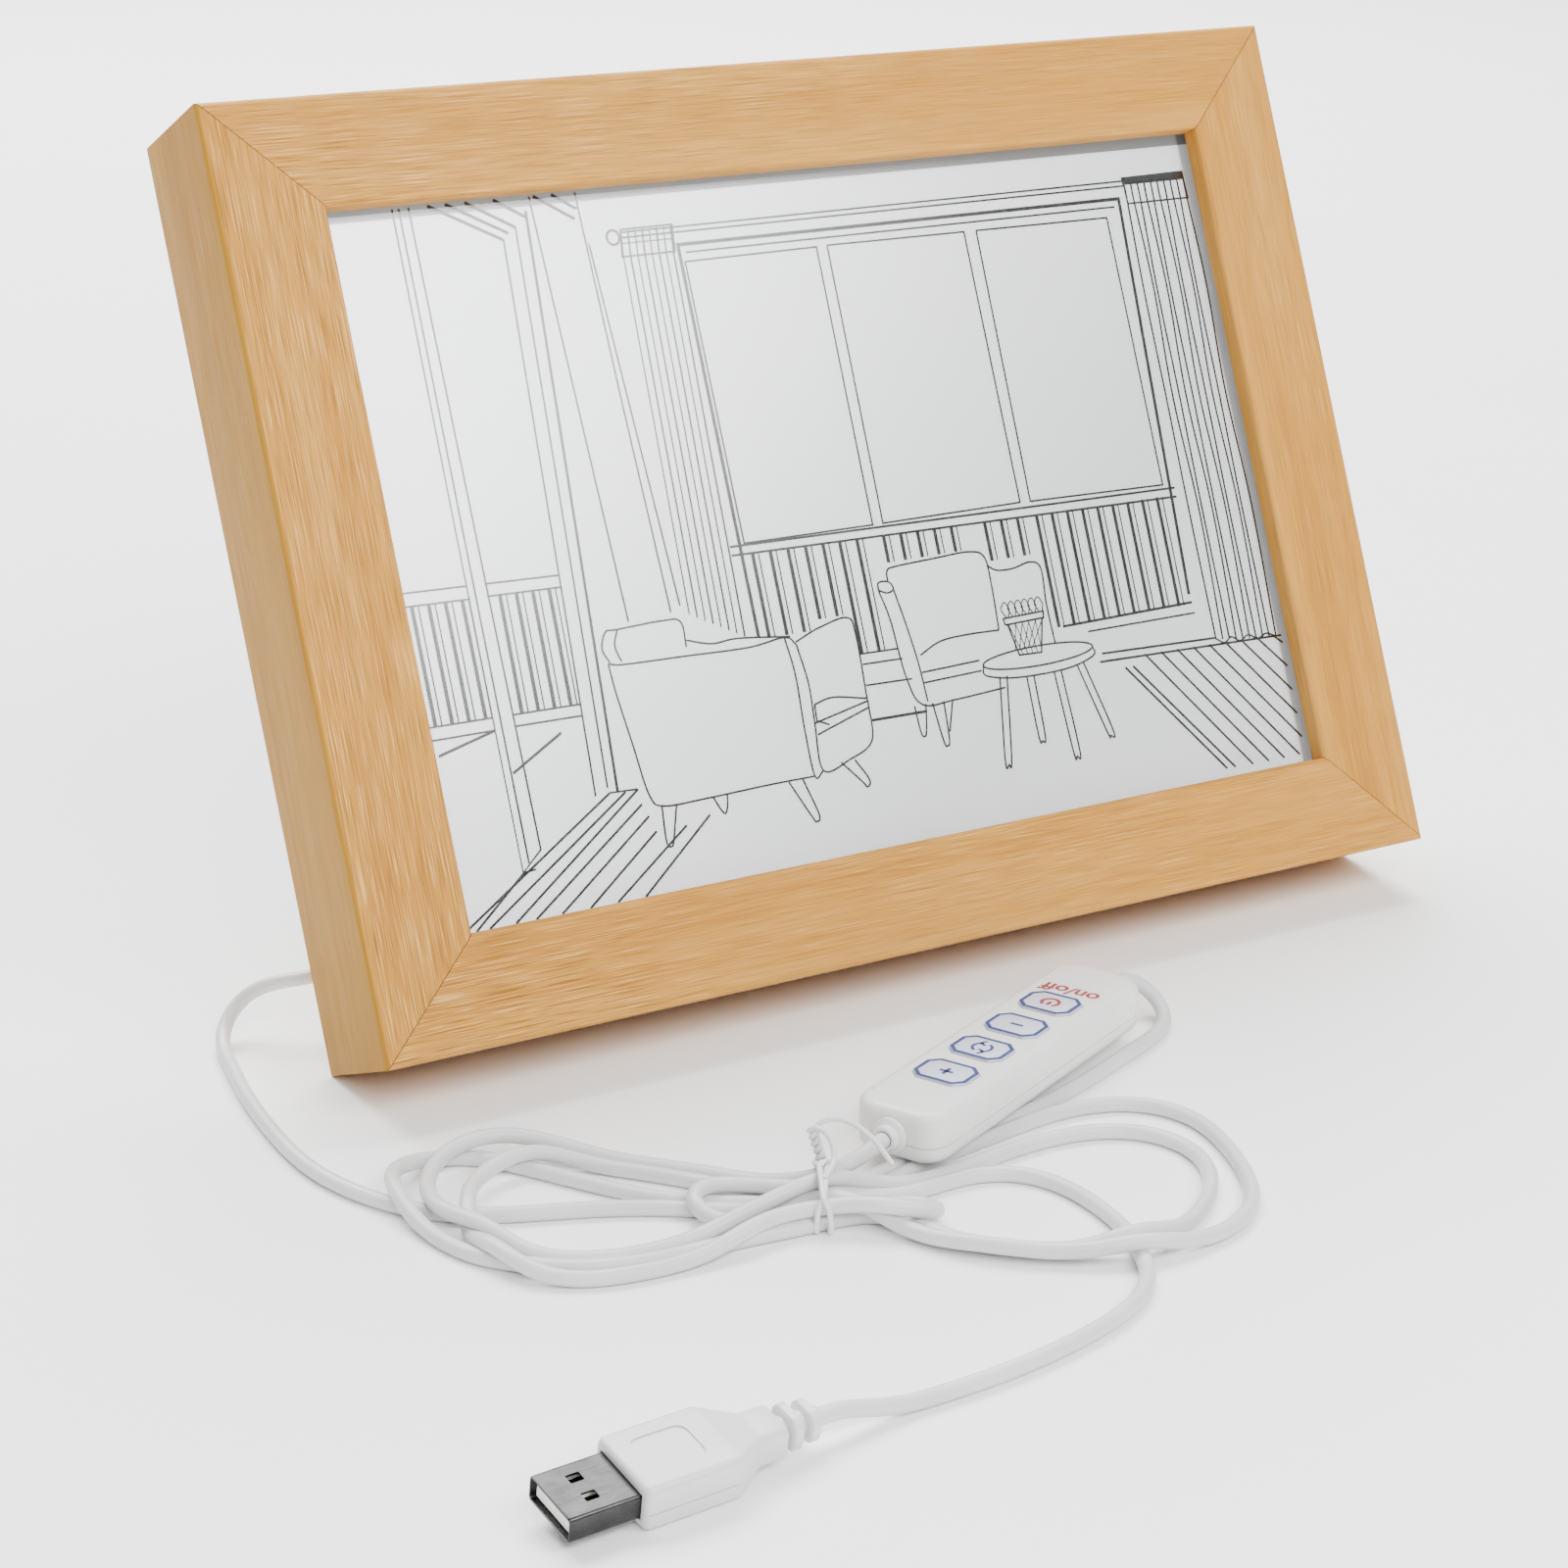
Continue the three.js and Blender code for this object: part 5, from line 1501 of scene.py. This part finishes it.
    def floor(self) -> None:
        """Diagonal planks at the left and the right, and the far edge of the rug."""
        planks = [
            ((15.8, 9.4), (3.6, 0)), ((37.2, 21.6), (0.8, 0)), ((40.6, 21.2), (6.4, 0)), ((43.4, 21.3), (12, 0)),
            ((43.6, 18.2), (16.4, 0)), ((44.6, 15.6), (22, 0)), ((45.6, 12.4), (28.2, 0)), ((52.4, 12.4), (34.2, 0)),
            ((58, 13.6), (40.4, 0)),
        ]
        for start, end in planks:
            self.line(start, end, width=self.thin * 1.2)
        self.line((37.2, 21.6), (43.4, 21.3))
        self.line((163.2, 27.6), (184.2, 1.8), width=self.thin * 1.3)
        self.line((165.2, 27.6), (186.4, 1.8), width=self.thin * 1.3)
        for i in range(9):
            x = 168.8 + 4.3 * i
            self.line(
                (x, 29.7 - 0.12 * i),
                (min(x + 22.4, 205.6), max(1.6, 29.7 - (205.6 - x) * 1.24 if x + 22.4 > 205.6 else 1.6)),
                width=self.thin * 1.2
            )
        self.line((157, 29.7), (205.6, 28.4), width=self.thin * 1.2)
        self.line((99, 26.2), (112, 26))

    def build(self, finishes: Finishes) -> None:
        """Draws every group and makes one printed piece of them.

        Args:
            finishes: every finish, by key.
        """
        for group in (
            self.balcony_door, self.curtains, self.window, self.chair_near, self.chair_far, self.table,
            self.floor
        ):
            group()
        vertices, faces = [], []
        left, bottom = -self.sight_width / 2, 22.2
        for points, width, closed in self.strokes:
            flat, quads = ribbon(points, width, closed)
            base = len(vertices)
            vertices += [(left + x, self.face_y, bottom + z) for x, z in flat]
            faces += [tuple(base + i for i in reversed(quad)) for quad in quads]
        mesh = bpy.data.meshes.new("drawing_lines")
        mesh.from_pydata(vertices, [], faces)
        piece = make_object("drawing_lines", mesh, STANDING, finishes["line"])
        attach(piece, Body.BOX.value)
        finishes.dress_node("picture_film", "film")
        finishes.dress_node("front_pane", "acrylic")


# ------------------------------------------------------------------ inline dimmer
@dataclass
class Dimmer:
    """The four-key dimmer: two moulded half shells, screened keys and a stepped collar at each end."""

    length: float = 80.0
    width: float = 19.0
    height: float = 10.0
    corner: float = 5.0
    edge: float = 1.9
    wall: float = 1.4
    parting: float = 3.55
    parting_gap: float = 0.14
    base: float = 3.3
    yaw: float = 26.0
    at: tuple[float, float] = (-16.5, -74.0)
    key_pitch: float = 13.0
    key_across: float = 11.4
    key_along: float = 8.9
    key_chamfer: float = 1.9
    key_proud: float = 0.5
    key_row: float = -1.7
    keys: tuple[str, ...] = ("key_plus", "key_cycle", "key_minus", "key_power")
    pieces: list[str] = field(default_factory=list)

    @property
    def place(self) -> Matrix:
        """Where the dimmer's own frame lies."""
        return DESK @ Matrix.Translation(
            Vector((*self.at, self.base)) * MM
        ) @ Matrix.Rotation(math.radians(self.yaw), 4, "Z")

    def octagon(self, grow: float = 0.0) -> list[tuple[float, float]]:
        """A key's outline, grown on all sides."""
        w = self.key_along / 2 + grow
        h = self.key_across / 2 + grow
        c = self.key_chamfer + grow * 0.4
        return [
            (-w + c, -h), (w - c, -h), (w, -h + c), (w, h - c), (w - c, h), (-w + c, h), (-w, h - c),
            (-w, -h + c)
        ]

    def key_x(self, index: int) -> float:
        """A key's place along the dimmer."""
        return self.key_row + (index - (len(self.keys) - 1) / 2) * self.key_pitch

    def shells(self, finishes: Finishes) -> None:
        """The upper and lower half shells, cut from one soft box.

        Args:
            finishes: every finish, by key.
        """
        inner = (
            self.length - 2 * self.wall, self.width - 2 * self.wall, self.wall, self.height - self.wall,
            self.corner - self.wall, 0.6
        )
        halves = (
            ("shell_upper", "controller_upper_shell", -10.0, self.parting),
            ("shell_lower", "controller_lower_shell", self.parting - self.parting_gap, 30.0)
        )
        for name, node, low, high in halves:
            body = make_object(
                name, soft_box(self.length, self.width, 0, self.height, self.corner, self.edge), self.place,
                finishes["abs"]
            )
            tools = [soft_box(*inner)]
            centre = (low + high) / 2
            tools.append(block((self.length + 10, self.width + 10, high - low), (0, 0, centre)))
            if name == "shell_upper":
                for i in range(len(self.keys)):
                    outline = [(x + self.key_x(i), y) for x, y in self.octagon(0.22)]
                    tools.append(bar(outline, self.height / 2, self.height + 4))
            for side in (-1, 1):
                rings = []
                for k in range(2):
                    x = side * (self.length / 2 - 6) + side * 12 * k
                    rings.append(
                        [
                            (
                                x, 2.9 * math.cos(2 * math.pi * i / 32),
                                self.height / 2 + 2.9 * math.sin(2 * math.pi * i / 32)
                            )
                            for i in range(32)
                        ]
                    )
                tools.append(loft(rings))
            carve(body, tools, self.place)
            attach(body, Body.BOX.value)
            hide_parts(node)
            self.pieces.append(name)

    def key_caps(self, finishes: Finishes) -> None:
        """The four caps, softly domed, with a screened border and symbol.

        Args:
            finishes: every finish, by key.
        """
        top = self.height + self.key_proud
        for i, node in enumerate(self.keys):
            x0 = self.key_x(i)
            rings = []
            for grow, height in (
                (0.55, self.height - 2.5), (0.55, self.height - 1.75), (0.0, self.height - 1.75),
                (0.0, top - 0.3), (-0.1, top - 0.1), (-0.32, top)
            ):
                rings.append([(x + x0, y, height) for x, y in self.octagon(grow)])
            cap = make_object(node + "_cap", loft(rings), self.place, finishes["key"])
            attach(cap, node)
            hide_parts(node)
            shapes = [(*ribbon([(x + x0, y) for x, y in self.octagon(-0.42)], 0.8, closed=True), "navy")]
            for points, width, closed in self.symbol(node):
                shapes.append(
                    (
                        *ribbon([(x + x0, y) for x, y in points], width, closed),
                        "red" if node == "key_power" else "navy"
                    )
                )
            self.print_on(node + "_print", shapes, top + 0.015, finishes, node)
            self.pieces += [cap.name, node + "_print"]

    def print_on(
        self, name: str, shapes: Sequence[tuple[list, list, str]], height: float, finishes: Finishes, body: str
    ) -> None:
        """Lays printed shapes on a key.

        Args:
            name: the piece's name.
            shapes: vertices in the plane, quads and the ink's key.
            height: the printed face's height.
            finishes: the finishes.
            body: the body that the print rides on.
        """
        vertices, faces, inks = [], [], []
        for flat, quads, ink in shapes:
            base = len(vertices)
            vertices += [(x, y, height) for x, y in flat]
            faces += [tuple(base + i for i in reversed(quad)) for quad in quads]
            inks += [ink] * len(quads)
        mesh = bpy.data.meshes.new(name)
        mesh.from_pydata(vertices, [], faces)
        kinds = sorted(set(inks))
        piece = make_object(name, mesh, self.place, finishes[kinds[0]])
        for kind in kinds[1:]:
            piece.data.materials.append(finishes[kind])
        piece.data.polygons.foreach_set("material_index", [kinds.index(ink) for ink in inks])
        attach(piece, body)

    def symbol(self, node: str) -> list[tuple[list, float, bool]]:
        """A key's symbol as strokes, drawn to be read from the plug's side.

        Args:
            node: the key's node.

        Returns:
            Points, width and whether closed, for each stroke.
        """
        width = 0.78
        if node == "key_plus":
            return [([(-1.45, 0), (1.45, 0)], width, False), ([(0, -1.45), (0, 1.45)], width, False)]
        if node == "key_minus":
            return [([(0, -1.4), (0, 1.4)], width, False)]

        def arc(radius: float, start: float, end: float) -> list[tuple[float, float]]:
            """Points on a circle between two angles in degrees."""
            count = 14
            turns = [math.radians(start + (end - start) * i / count) for i in range(count + 1)]
            return [(radius * math.cos(turn), radius * math.sin(turn)) for turn in turns]

        if node == "key_power":
            return [(arc(1.75, -145, 145), width, False), ([(-1.5, 0), (0.35, 0)], width, False)]
        heads = []
        for turn in (20, 200):
            tip = arc(1.9, turn, turn + 1)[0]
            lean = math.radians(turn)
            out = (
                tip[0] + 1.1 * math.cos(lean) + 0.5 * math.sin(lean),
                tip[1] + 1.1 * math.sin(lean) - 0.5 * math.cos(lean)
            )
            back = (
                tip[0] - 1.0 * math.cos(lean) + 0.5 * math.sin(lean),
                tip[1] - 1.0 * math.sin(lean) - 0.5 * math.cos(lean)
            )
            heads.append(
                (
                    [out, (tip[0] - 0.6 * math.sin(lean), tip[1] + 0.6 * math.cos(lean)), back], width * 0.8,
                    False
                )
            )
        return [(arc(1.9, 20, 160), width * 0.8, False), (arc(1.9, 200, 340), width * 0.8, False), *heads]

    def marking(self, finishes: Finishes) -> None:
        """The words for the switch, printed beside the power key.

        Args:
            finishes: every finish, by key.
        """
        text = bpy.data.curves.new("switch_words", "FONT")
        text.body = "on/off"
        text.size = 5.2 * MM
        text.offset = 0.14 * MM
        text.align_x = "CENTER"
        text.align_y = "CENTER"
        holder = bpy.data.objects.new("switch_words", text)
        bpy.context.scene.collection.objects.link(holder)
        graph = bpy.context.evaluated_depsgraph_get()
        mesh = bpy.data.meshes.new_from_object(holder.evaluated_get(graph))
        bpy.data.objects.remove(holder)
        mesh.transform(Matrix.Scale(1 / MM, 4))
        x = self.key_x(len(self.keys) - 1) + self.key_along / 2 + 3.6
        mesh.transform(Matrix.Translation((x, 0, self.height + 0.02)) @ Matrix.Rotation(math.pi / 2, 4, "Z"))
        piece = make_object("switch_words", mesh, self.place, finishes["red"])
        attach(piece, Body.BOX.value)
        self.pieces.append(piece.name)

    def collars(self, finishes: Finishes) -> None:
        """The stepped collars that the cord passes through.

        Args:
            finishes: every finish, by key.
        """
        for node, side in (("controller_gland_out", 1), ("controller_gland_in", -1)):
            profile = [
                (1.62, -3), (3.1, -3), (3.15, -2.1), (2.75, -2.0), (2.75, 0.1), (3.3, 0.3), (3.5, 0.7), (3.5, 1.2),
                (3.2, 1.5), (2.5, 1.7), (2.45, 2.6), (2.2, 2.95), (1.62, 3.0),
            ]
            mesh = turned([(r, side * x) for r, x in profile])
            mesh.transform(Matrix.Translation((side * (self.length / 2 - 0.1), 0, self.height / 2)))
            piece = make_object(node.replace("controller_", ""), mesh, self.place, finishes["abs"])
            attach(piece, Body.BOX.value)
            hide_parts(node)

    def build(self, finishes: Finishes) -> None:
        """Builds and dresses the whole dimmer.

        Args:
            finishes: every finish, by key.
        """
        self.shells(finishes)
        self.key_caps(finishes)
        self.marking(finishes)
        self.collars(finishes)
        finishes.dress_node("controller_board", "circuit")
        self.pieces.append("controller_board")
        for key in self.keys:
            switch = key.replace("key", "switch")
            finishes.dress_node(switch, "black")
            self.pieces.append(switch)


# ------------------------------------------------------------------ flat plug
@dataclass
class FlatPlug:
    """The moulded plug: a soft-edged body, a waisted neck with two ribs, and a folded steel shell."""

    at: Point = (-148.0, -168.6, 5.005)
    yaw: float = 4.0
    roll: float = 9.0
    body: float = 17.0
    taper: float = 6.0
    neck: float = 5.0
    body_width: float = 15.4
    body_height: float = 8.0
    neck_width: float = 8.0
    neck_height: float = 6.0
    edge: float = 1.35
    rib: float = 2.2
    rib_gap: float = 1.2
    rib_width: float = 7.2
    rib_height: float = 6.2
    core: float = 4.2
    shell_width: float = 12.0
    shell_height: float = 4.5
    shell_wall: float = 0.35
    shell_out: float = 12.3
    shell_in: float = 4.7

    @property
    def place(self) -> Matrix:
        """Where the plug's own frame lies, X from the mouth to the cord."""
        turn = Matrix.Rotation(math.radians(self.yaw), 4, "Z") @ Matrix.Rotation(
            math.radians(self.roll), 4, "X"
        )
        return DESK @ Matrix.Translation(Vector(self.at) * MM) @ turn

    def overmould(self, finishes: Finishes) -> None:
        """Body, taper, neck and ribs as one lofted skin.

        Args:
            finishes: every finish, by key.
        """
        stations: list[tuple[float, float, float, float]] = []

        def at(x: float, width: float, height: float, radius: float) -> None:
            """Adds a section of the skin."""
            stations.append((x, width, height, radius))

        w, h = self.body_width, self.body_height
        for i in range(6):
            angle = math.radians(90 * i / 5)
            inset = 1.1 * (1 - math.sin(angle))
            at(1.1 * (1 - math.cos(angle)), w - 2 * inset, h - 2 * inset, self.edge)
        at(self.body - 0.3, w, h, self.edge)
        at(self.body, w - 0.1, h - 0.05, self.edge)
        at(self.body + 0.3, w - 0.5, h - 0.15, self.edge)
        at(self.body + self.taper - 0.4, self.neck_width + 0.45, self.neck_height + 0.15, self.edge)
        at(self.body + self.taper, self.neck_width + 0.1, self.neck_height + 0.02, self.edge)
        at(self.body + self.taper + 0.4, self.neck_width, self.neck_height, self.edge)
        end = self.body + self.taper + self.neck
        at(end - 0.5, self.neck_width, self.neck_height, self.edge)
        at(end - 0.12, self.neck_width - 0.3, self.neck_height - 0.3, self.edge)
        at(end, self.neck_width - 0.8, self.neck_height - 0.8, self.edge)
        for k in range(2):
            start = end + self.rib_gap + k * (self.rib_gap + self.rib)
            shrink = 0.5 * k
            at(start - self.rib_gap + 0.1, self.core, self.core, self.core / 2 - 0.05)
            at(start - 0.1, self.core, self.core, self.core / 2 - 0.05)
            for x, less in (
                (start, 1.1), (start + 0.15, 0.5), (start + 0.45, 0.0), (start + self.rib - 0.45, 0.0),
                (start + self.rib - 0.15, 0.5), (start + self.rib, 1.1)
            ):
                at(x, self.rib_width - shrink - less, self.rib_height - shrink - less, 2.2)
        last = end + 2 * (self.rib_gap + self.rib)
        at(last + 0.1, self.core, self.core, self.core / 2 - 0.05)
        at(last + 0.9, self.core - 0.5, self.core - 0.5, self.core / 2 - 0.35)
        rings = []
        for x, width, height, radius in stations:
            radius = min(radius, width / 2 - 0.01, height / 2 - 0.01)
            rings.append([(x, a, b) for a, b in rounded_rectangle(width, height, radius, 8)])
        piece = make_object("plug_body", loft(rings), self.place, finishes["pvc"], 22)
        pocket = block((2 * self.shell_in + 0.6, self.shell_width + 0.3, self.shell_height + 0.3), (0, 0, 0))
        panel = [(x, y) for x, y in rounded_rectangle(10.0, 8.6, 2.0, 6)]
        recess = bar(panel, self.body_height / 2 - 0.25, self.body_height)
        recess.transform(Matrix.Translation((8.2, 0, 0)))
        tools = [pocket, recess]
        for side in (-1, 1):
            tools.append(block((self.body - 1, 0.4, 0.22), (self.body / 2, side * (self.body_width / 2), -0.6)))
        carve(piece, tools, self.place)
        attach(piece, Body.BOX.value)
        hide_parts("plug_overmould")

    def steel_shell(self, finishes: Finishes) -> None:
        """The folded shell with its two windows, its flared mouth and the seam below.

        Args:
            finishes: every finish, by key.
        """
        outer, inner = [], []
        start, end = -self.shell_out, self.shell_in
        for x, less in ((start, 0.22), (start + 0.12, 0.06), (start + 0.35, 0.0), (end, 0.0)):
            outer.append(
                [
                    (x, a, b) for a,
                    b in rounded_rectangle(self.shell_width - less, self.shell_height - less, 0.7, 6)
                ]
            )
        wall = 2 * self.shell_wall
        for x, less in ((end, wall), (start + 0.35, wall), (start + 0.12, wall - 0.08), (start, wall - 0.2)):
            inner.append(
                [
                    (x, a, b) for a,
                    b in rounded_rectangle(self.shell_width - less, self.shell_height - less, 0.45, 6)
                ]
            )
        piece = make_object("plug_steel", loft(outer + inner, close_rings=True), self.place, finishes["nickel"])
        tools = []
        for side in (-1, 1):
            window = bar(rounded_rectangle(2.4, 2.0, 0.25, 4), -9, 9)
            window.transform(Matrix.Translation((-self.shell_out + 5.6, side * 2.3, 0)))
            tools.append(window)
        tools.append(
            block((self.shell_out - 1.2, 0.12, 0.4), (-self.shell_out / 2 - 0.4, 0.4, -self.shell_height / 2))
        )
        tools.append(block((0.12, 0.9, 0.4), (-self.shell_out + 3.2, 0.8, -self.shell_height / 2)))
        carve(piece, tools, self.place)
        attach(piece, Body.BOX.value)
        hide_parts("plug_shell")

    def build(self, finishes: Finishes) -> None:
        """Builds and dresses the plug.

        Args:
            finishes: every finish, by key.
        """
        self.overmould(finishes)
        self.steel_shell(finishes)
        finishes.dress_node("plug_tongue", "opal")
        for i in range(4):
            finishes.dress_node(f"plug_contact_{i + 1}", "gold")


# ------------------------------------------------------------------ back, leg and light panel
@dataclass
class BackAndLeg:
    """Everything behind the pane: CAD pieces with their own finishes."""

    finishes_by_node: dict[str, str] = field(
        default_factory=lambda: {
            "diffuser_panel": "opal", "spacer_frame": "abs", "led_board": "led", "led_strip_1": "led", "led_strip_2": "led",
            "led_strip_3": "led", "led_strip_4": "led", "back_panel": "hardboard", "cable_grommet": "rubber",
            "easel_leg": "hardboard", "hinge_leaf": "zinc", "hinge_plate": "zinc", "hinge_pin": "zinc",
            "leaf_rivet_1": "zinc", "leaf_rivet_2": "zinc", "plate_rivet_1": "zinc", "plate_rivet_2": "zinc",
            "turn_button_1": "brass", "turn_button_2": "brass", "turn_button_3": "brass", "turn_button_4": "brass",
            "turn_screw_1": "brass", "turn_screw_2": "brass", "turn_screw_3": "brass", "turn_screw_4": "brass",
        }
    )

    def build(self, finishes: Finishes) -> None:
        """Dresses the carried-over pieces.

        Args:
            finishes: every finish, by key.
        """
        for node, key in self.finishes_by_node.items():
            finishes.dress_node(node, key)


# ------------------------------------------------------------------ studio
@dataclass
class Studio:
    """Pale floor, soft lights and a camera to the left of the box and a little above it."""

    focal: float = 75.8
    azimuth: float = 29.9
    elevation: float = 19.57
    camera_at: Point = (-342.2, -555.8, 270.6)

    def camera(self) -> None:
        """Sets the camera."""
        data = bpy.data.cameras.new("camera")
        data.lens = self.focal
        data.sensor_width = 36
        data.clip_start = 0.01
        holder = bpy.data.objects.new("camera", data)
        holder.location = DESK @ (Vector(self.camera_at) * MM)
        holder.rotation_euler = (math.radians(90 - self.elevation), 0, math.radians(-self.azimuth))
        bpy.context.scene.collection.objects.link(holder)
        bpy.context.scene.camera = holder

    def area(
        self, name: str, at: Point, aim: Point, size: tuple[float, float], power: float, soft: bool = False
    ) -> None:
        """Adds a soft box that faces a point, brightest at its middle when soft.

        Args:
            name: the light's name.
            at: where it stands.
            aim: the point it faces.
            size: its two sides.
            power: watts.
            soft: whether it falls off to its rim.
        """
        data = bpy.data.lights.new(name, "AREA")
        data.shape = "RECTANGLE"
        data.size, data.size_y = size
        data.energy = power
        if soft:
            data.use_nodes = True
            tree = data.node_tree
            spot = add_node(tree, "NewGeometry").outputs["Parametric"]
            centred = add_node(
                tree, "Mapping", {"vector_type": "POINT"}, Vector=spot, Location=(-1, -1, 0), Scale=(2, 2, 0)
            ).outputs["Vector"]
            reach = add_node(tree, "VectorMath", {"operation": "LENGTH"}, i0=centred).outputs["Value"]
            fall = add_node(
                tree, "MapRange", {"interpolation_type": "SMOOTHSTEP"}, i0=reach, i1=0.25, i2=0.98, i3=1.0,
                i4=0.0
            ).outputs[0]
            tree.links.new(fall, tree.nodes["Emission"].inputs["Strength"])
        holder = bpy.data.objects.new(name, data)
        holder.location = at
        holder.rotation_euler = (Vector(aim) - Vector(at)).to_track_quat("-Z", "Y").to_euler()
        bpy.context.scene.collection.objects.link(holder)

    def floor(self) -> None:
        """A pale sweep of floor with a faint tooth."""
        mesh = bpy.data.meshes.new("floor")
        mesh.from_pydata([(-6, -6, 0), (6, -6, 0), (6, 6, 0), (-6, 6, 0)], [], [(0, 1, 2, 3)])
        material, tree, shader = blank_material("studio_floor_matt")
        tooth = add_node(tree, "TexNoise", Vector=place_on(tree), Scale=8.0, Detail=2.0)
        tree.links.new(
            ramp(tree, tooth.outputs["Fac"], [(0, linear("FAFAFA")), (1, linear("FEFEFE"))]),
            shader.inputs["Base Color"]
        )
        shader.inputs["Roughness"].default_value = 0.9
        mesh.materials.append(material)
        piece = bpy.data.objects.new("floor", mesh)
        bpy.context.scene.collection.objects.link(piece)

    def build(self) -> None:
        """Builds camera, floor, lights and sky."""
        self.camera()
        self.floor()
        world = bpy.data.worlds.new("studio")
        world.use_nodes = True
        background = world.node_tree.nodes["Background"]
        background.inputs["Color"].default_value = linear("FFFFFF")
        background.inputs["Strength"].default_value = 0.5
        bpy.context.scene.world = world
        self.area("key", (-0.4, -1.15, 0.9), (0, 0, 0.08), (0.7, 0.7), 15)
        self.area("pane_glow", (0.27, -0.86, 0.82), (-0.05, 0, 0.1), (0.95, 0.85), 36, soft=True)
        self.area("sweep", (0.3, 1.5, 2.0), (0, 0.3, 0), (2.6, 2.0), 225)
        log.info("studio: camera, floor and three soft boxes")


def main() -> None:
    """Builds the studio, the cords and then each sub-assembly, and reports their pieces."""
    Studio().build()
    finishes = Finishes()
    finishes.build()
    hank = Hank()
    dimmer = Dimmer()
    objects = bpy.data.objects
    for assembly in (hank, FrameMouldings(), RoomDrawing(), dimmer, FlatPlug(), BackAndLeg()):
        before = set(objects.keys())
        assembly.build(finishes)
        for name in sorted(set(objects.keys()) - before):
            log.info("%s: made %s", type(assembly).__name__, name)
    on_lead = [
        "cable_grommet",
        *(
            name if name in frame["nodes"] else objects[name]
            for name in ("tie_wire", "gland_in", *dimmer.pieces)
        )
    ]
    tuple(hank.ends[0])
    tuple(hank.ends[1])


if __name__ == "__main__":
    main()
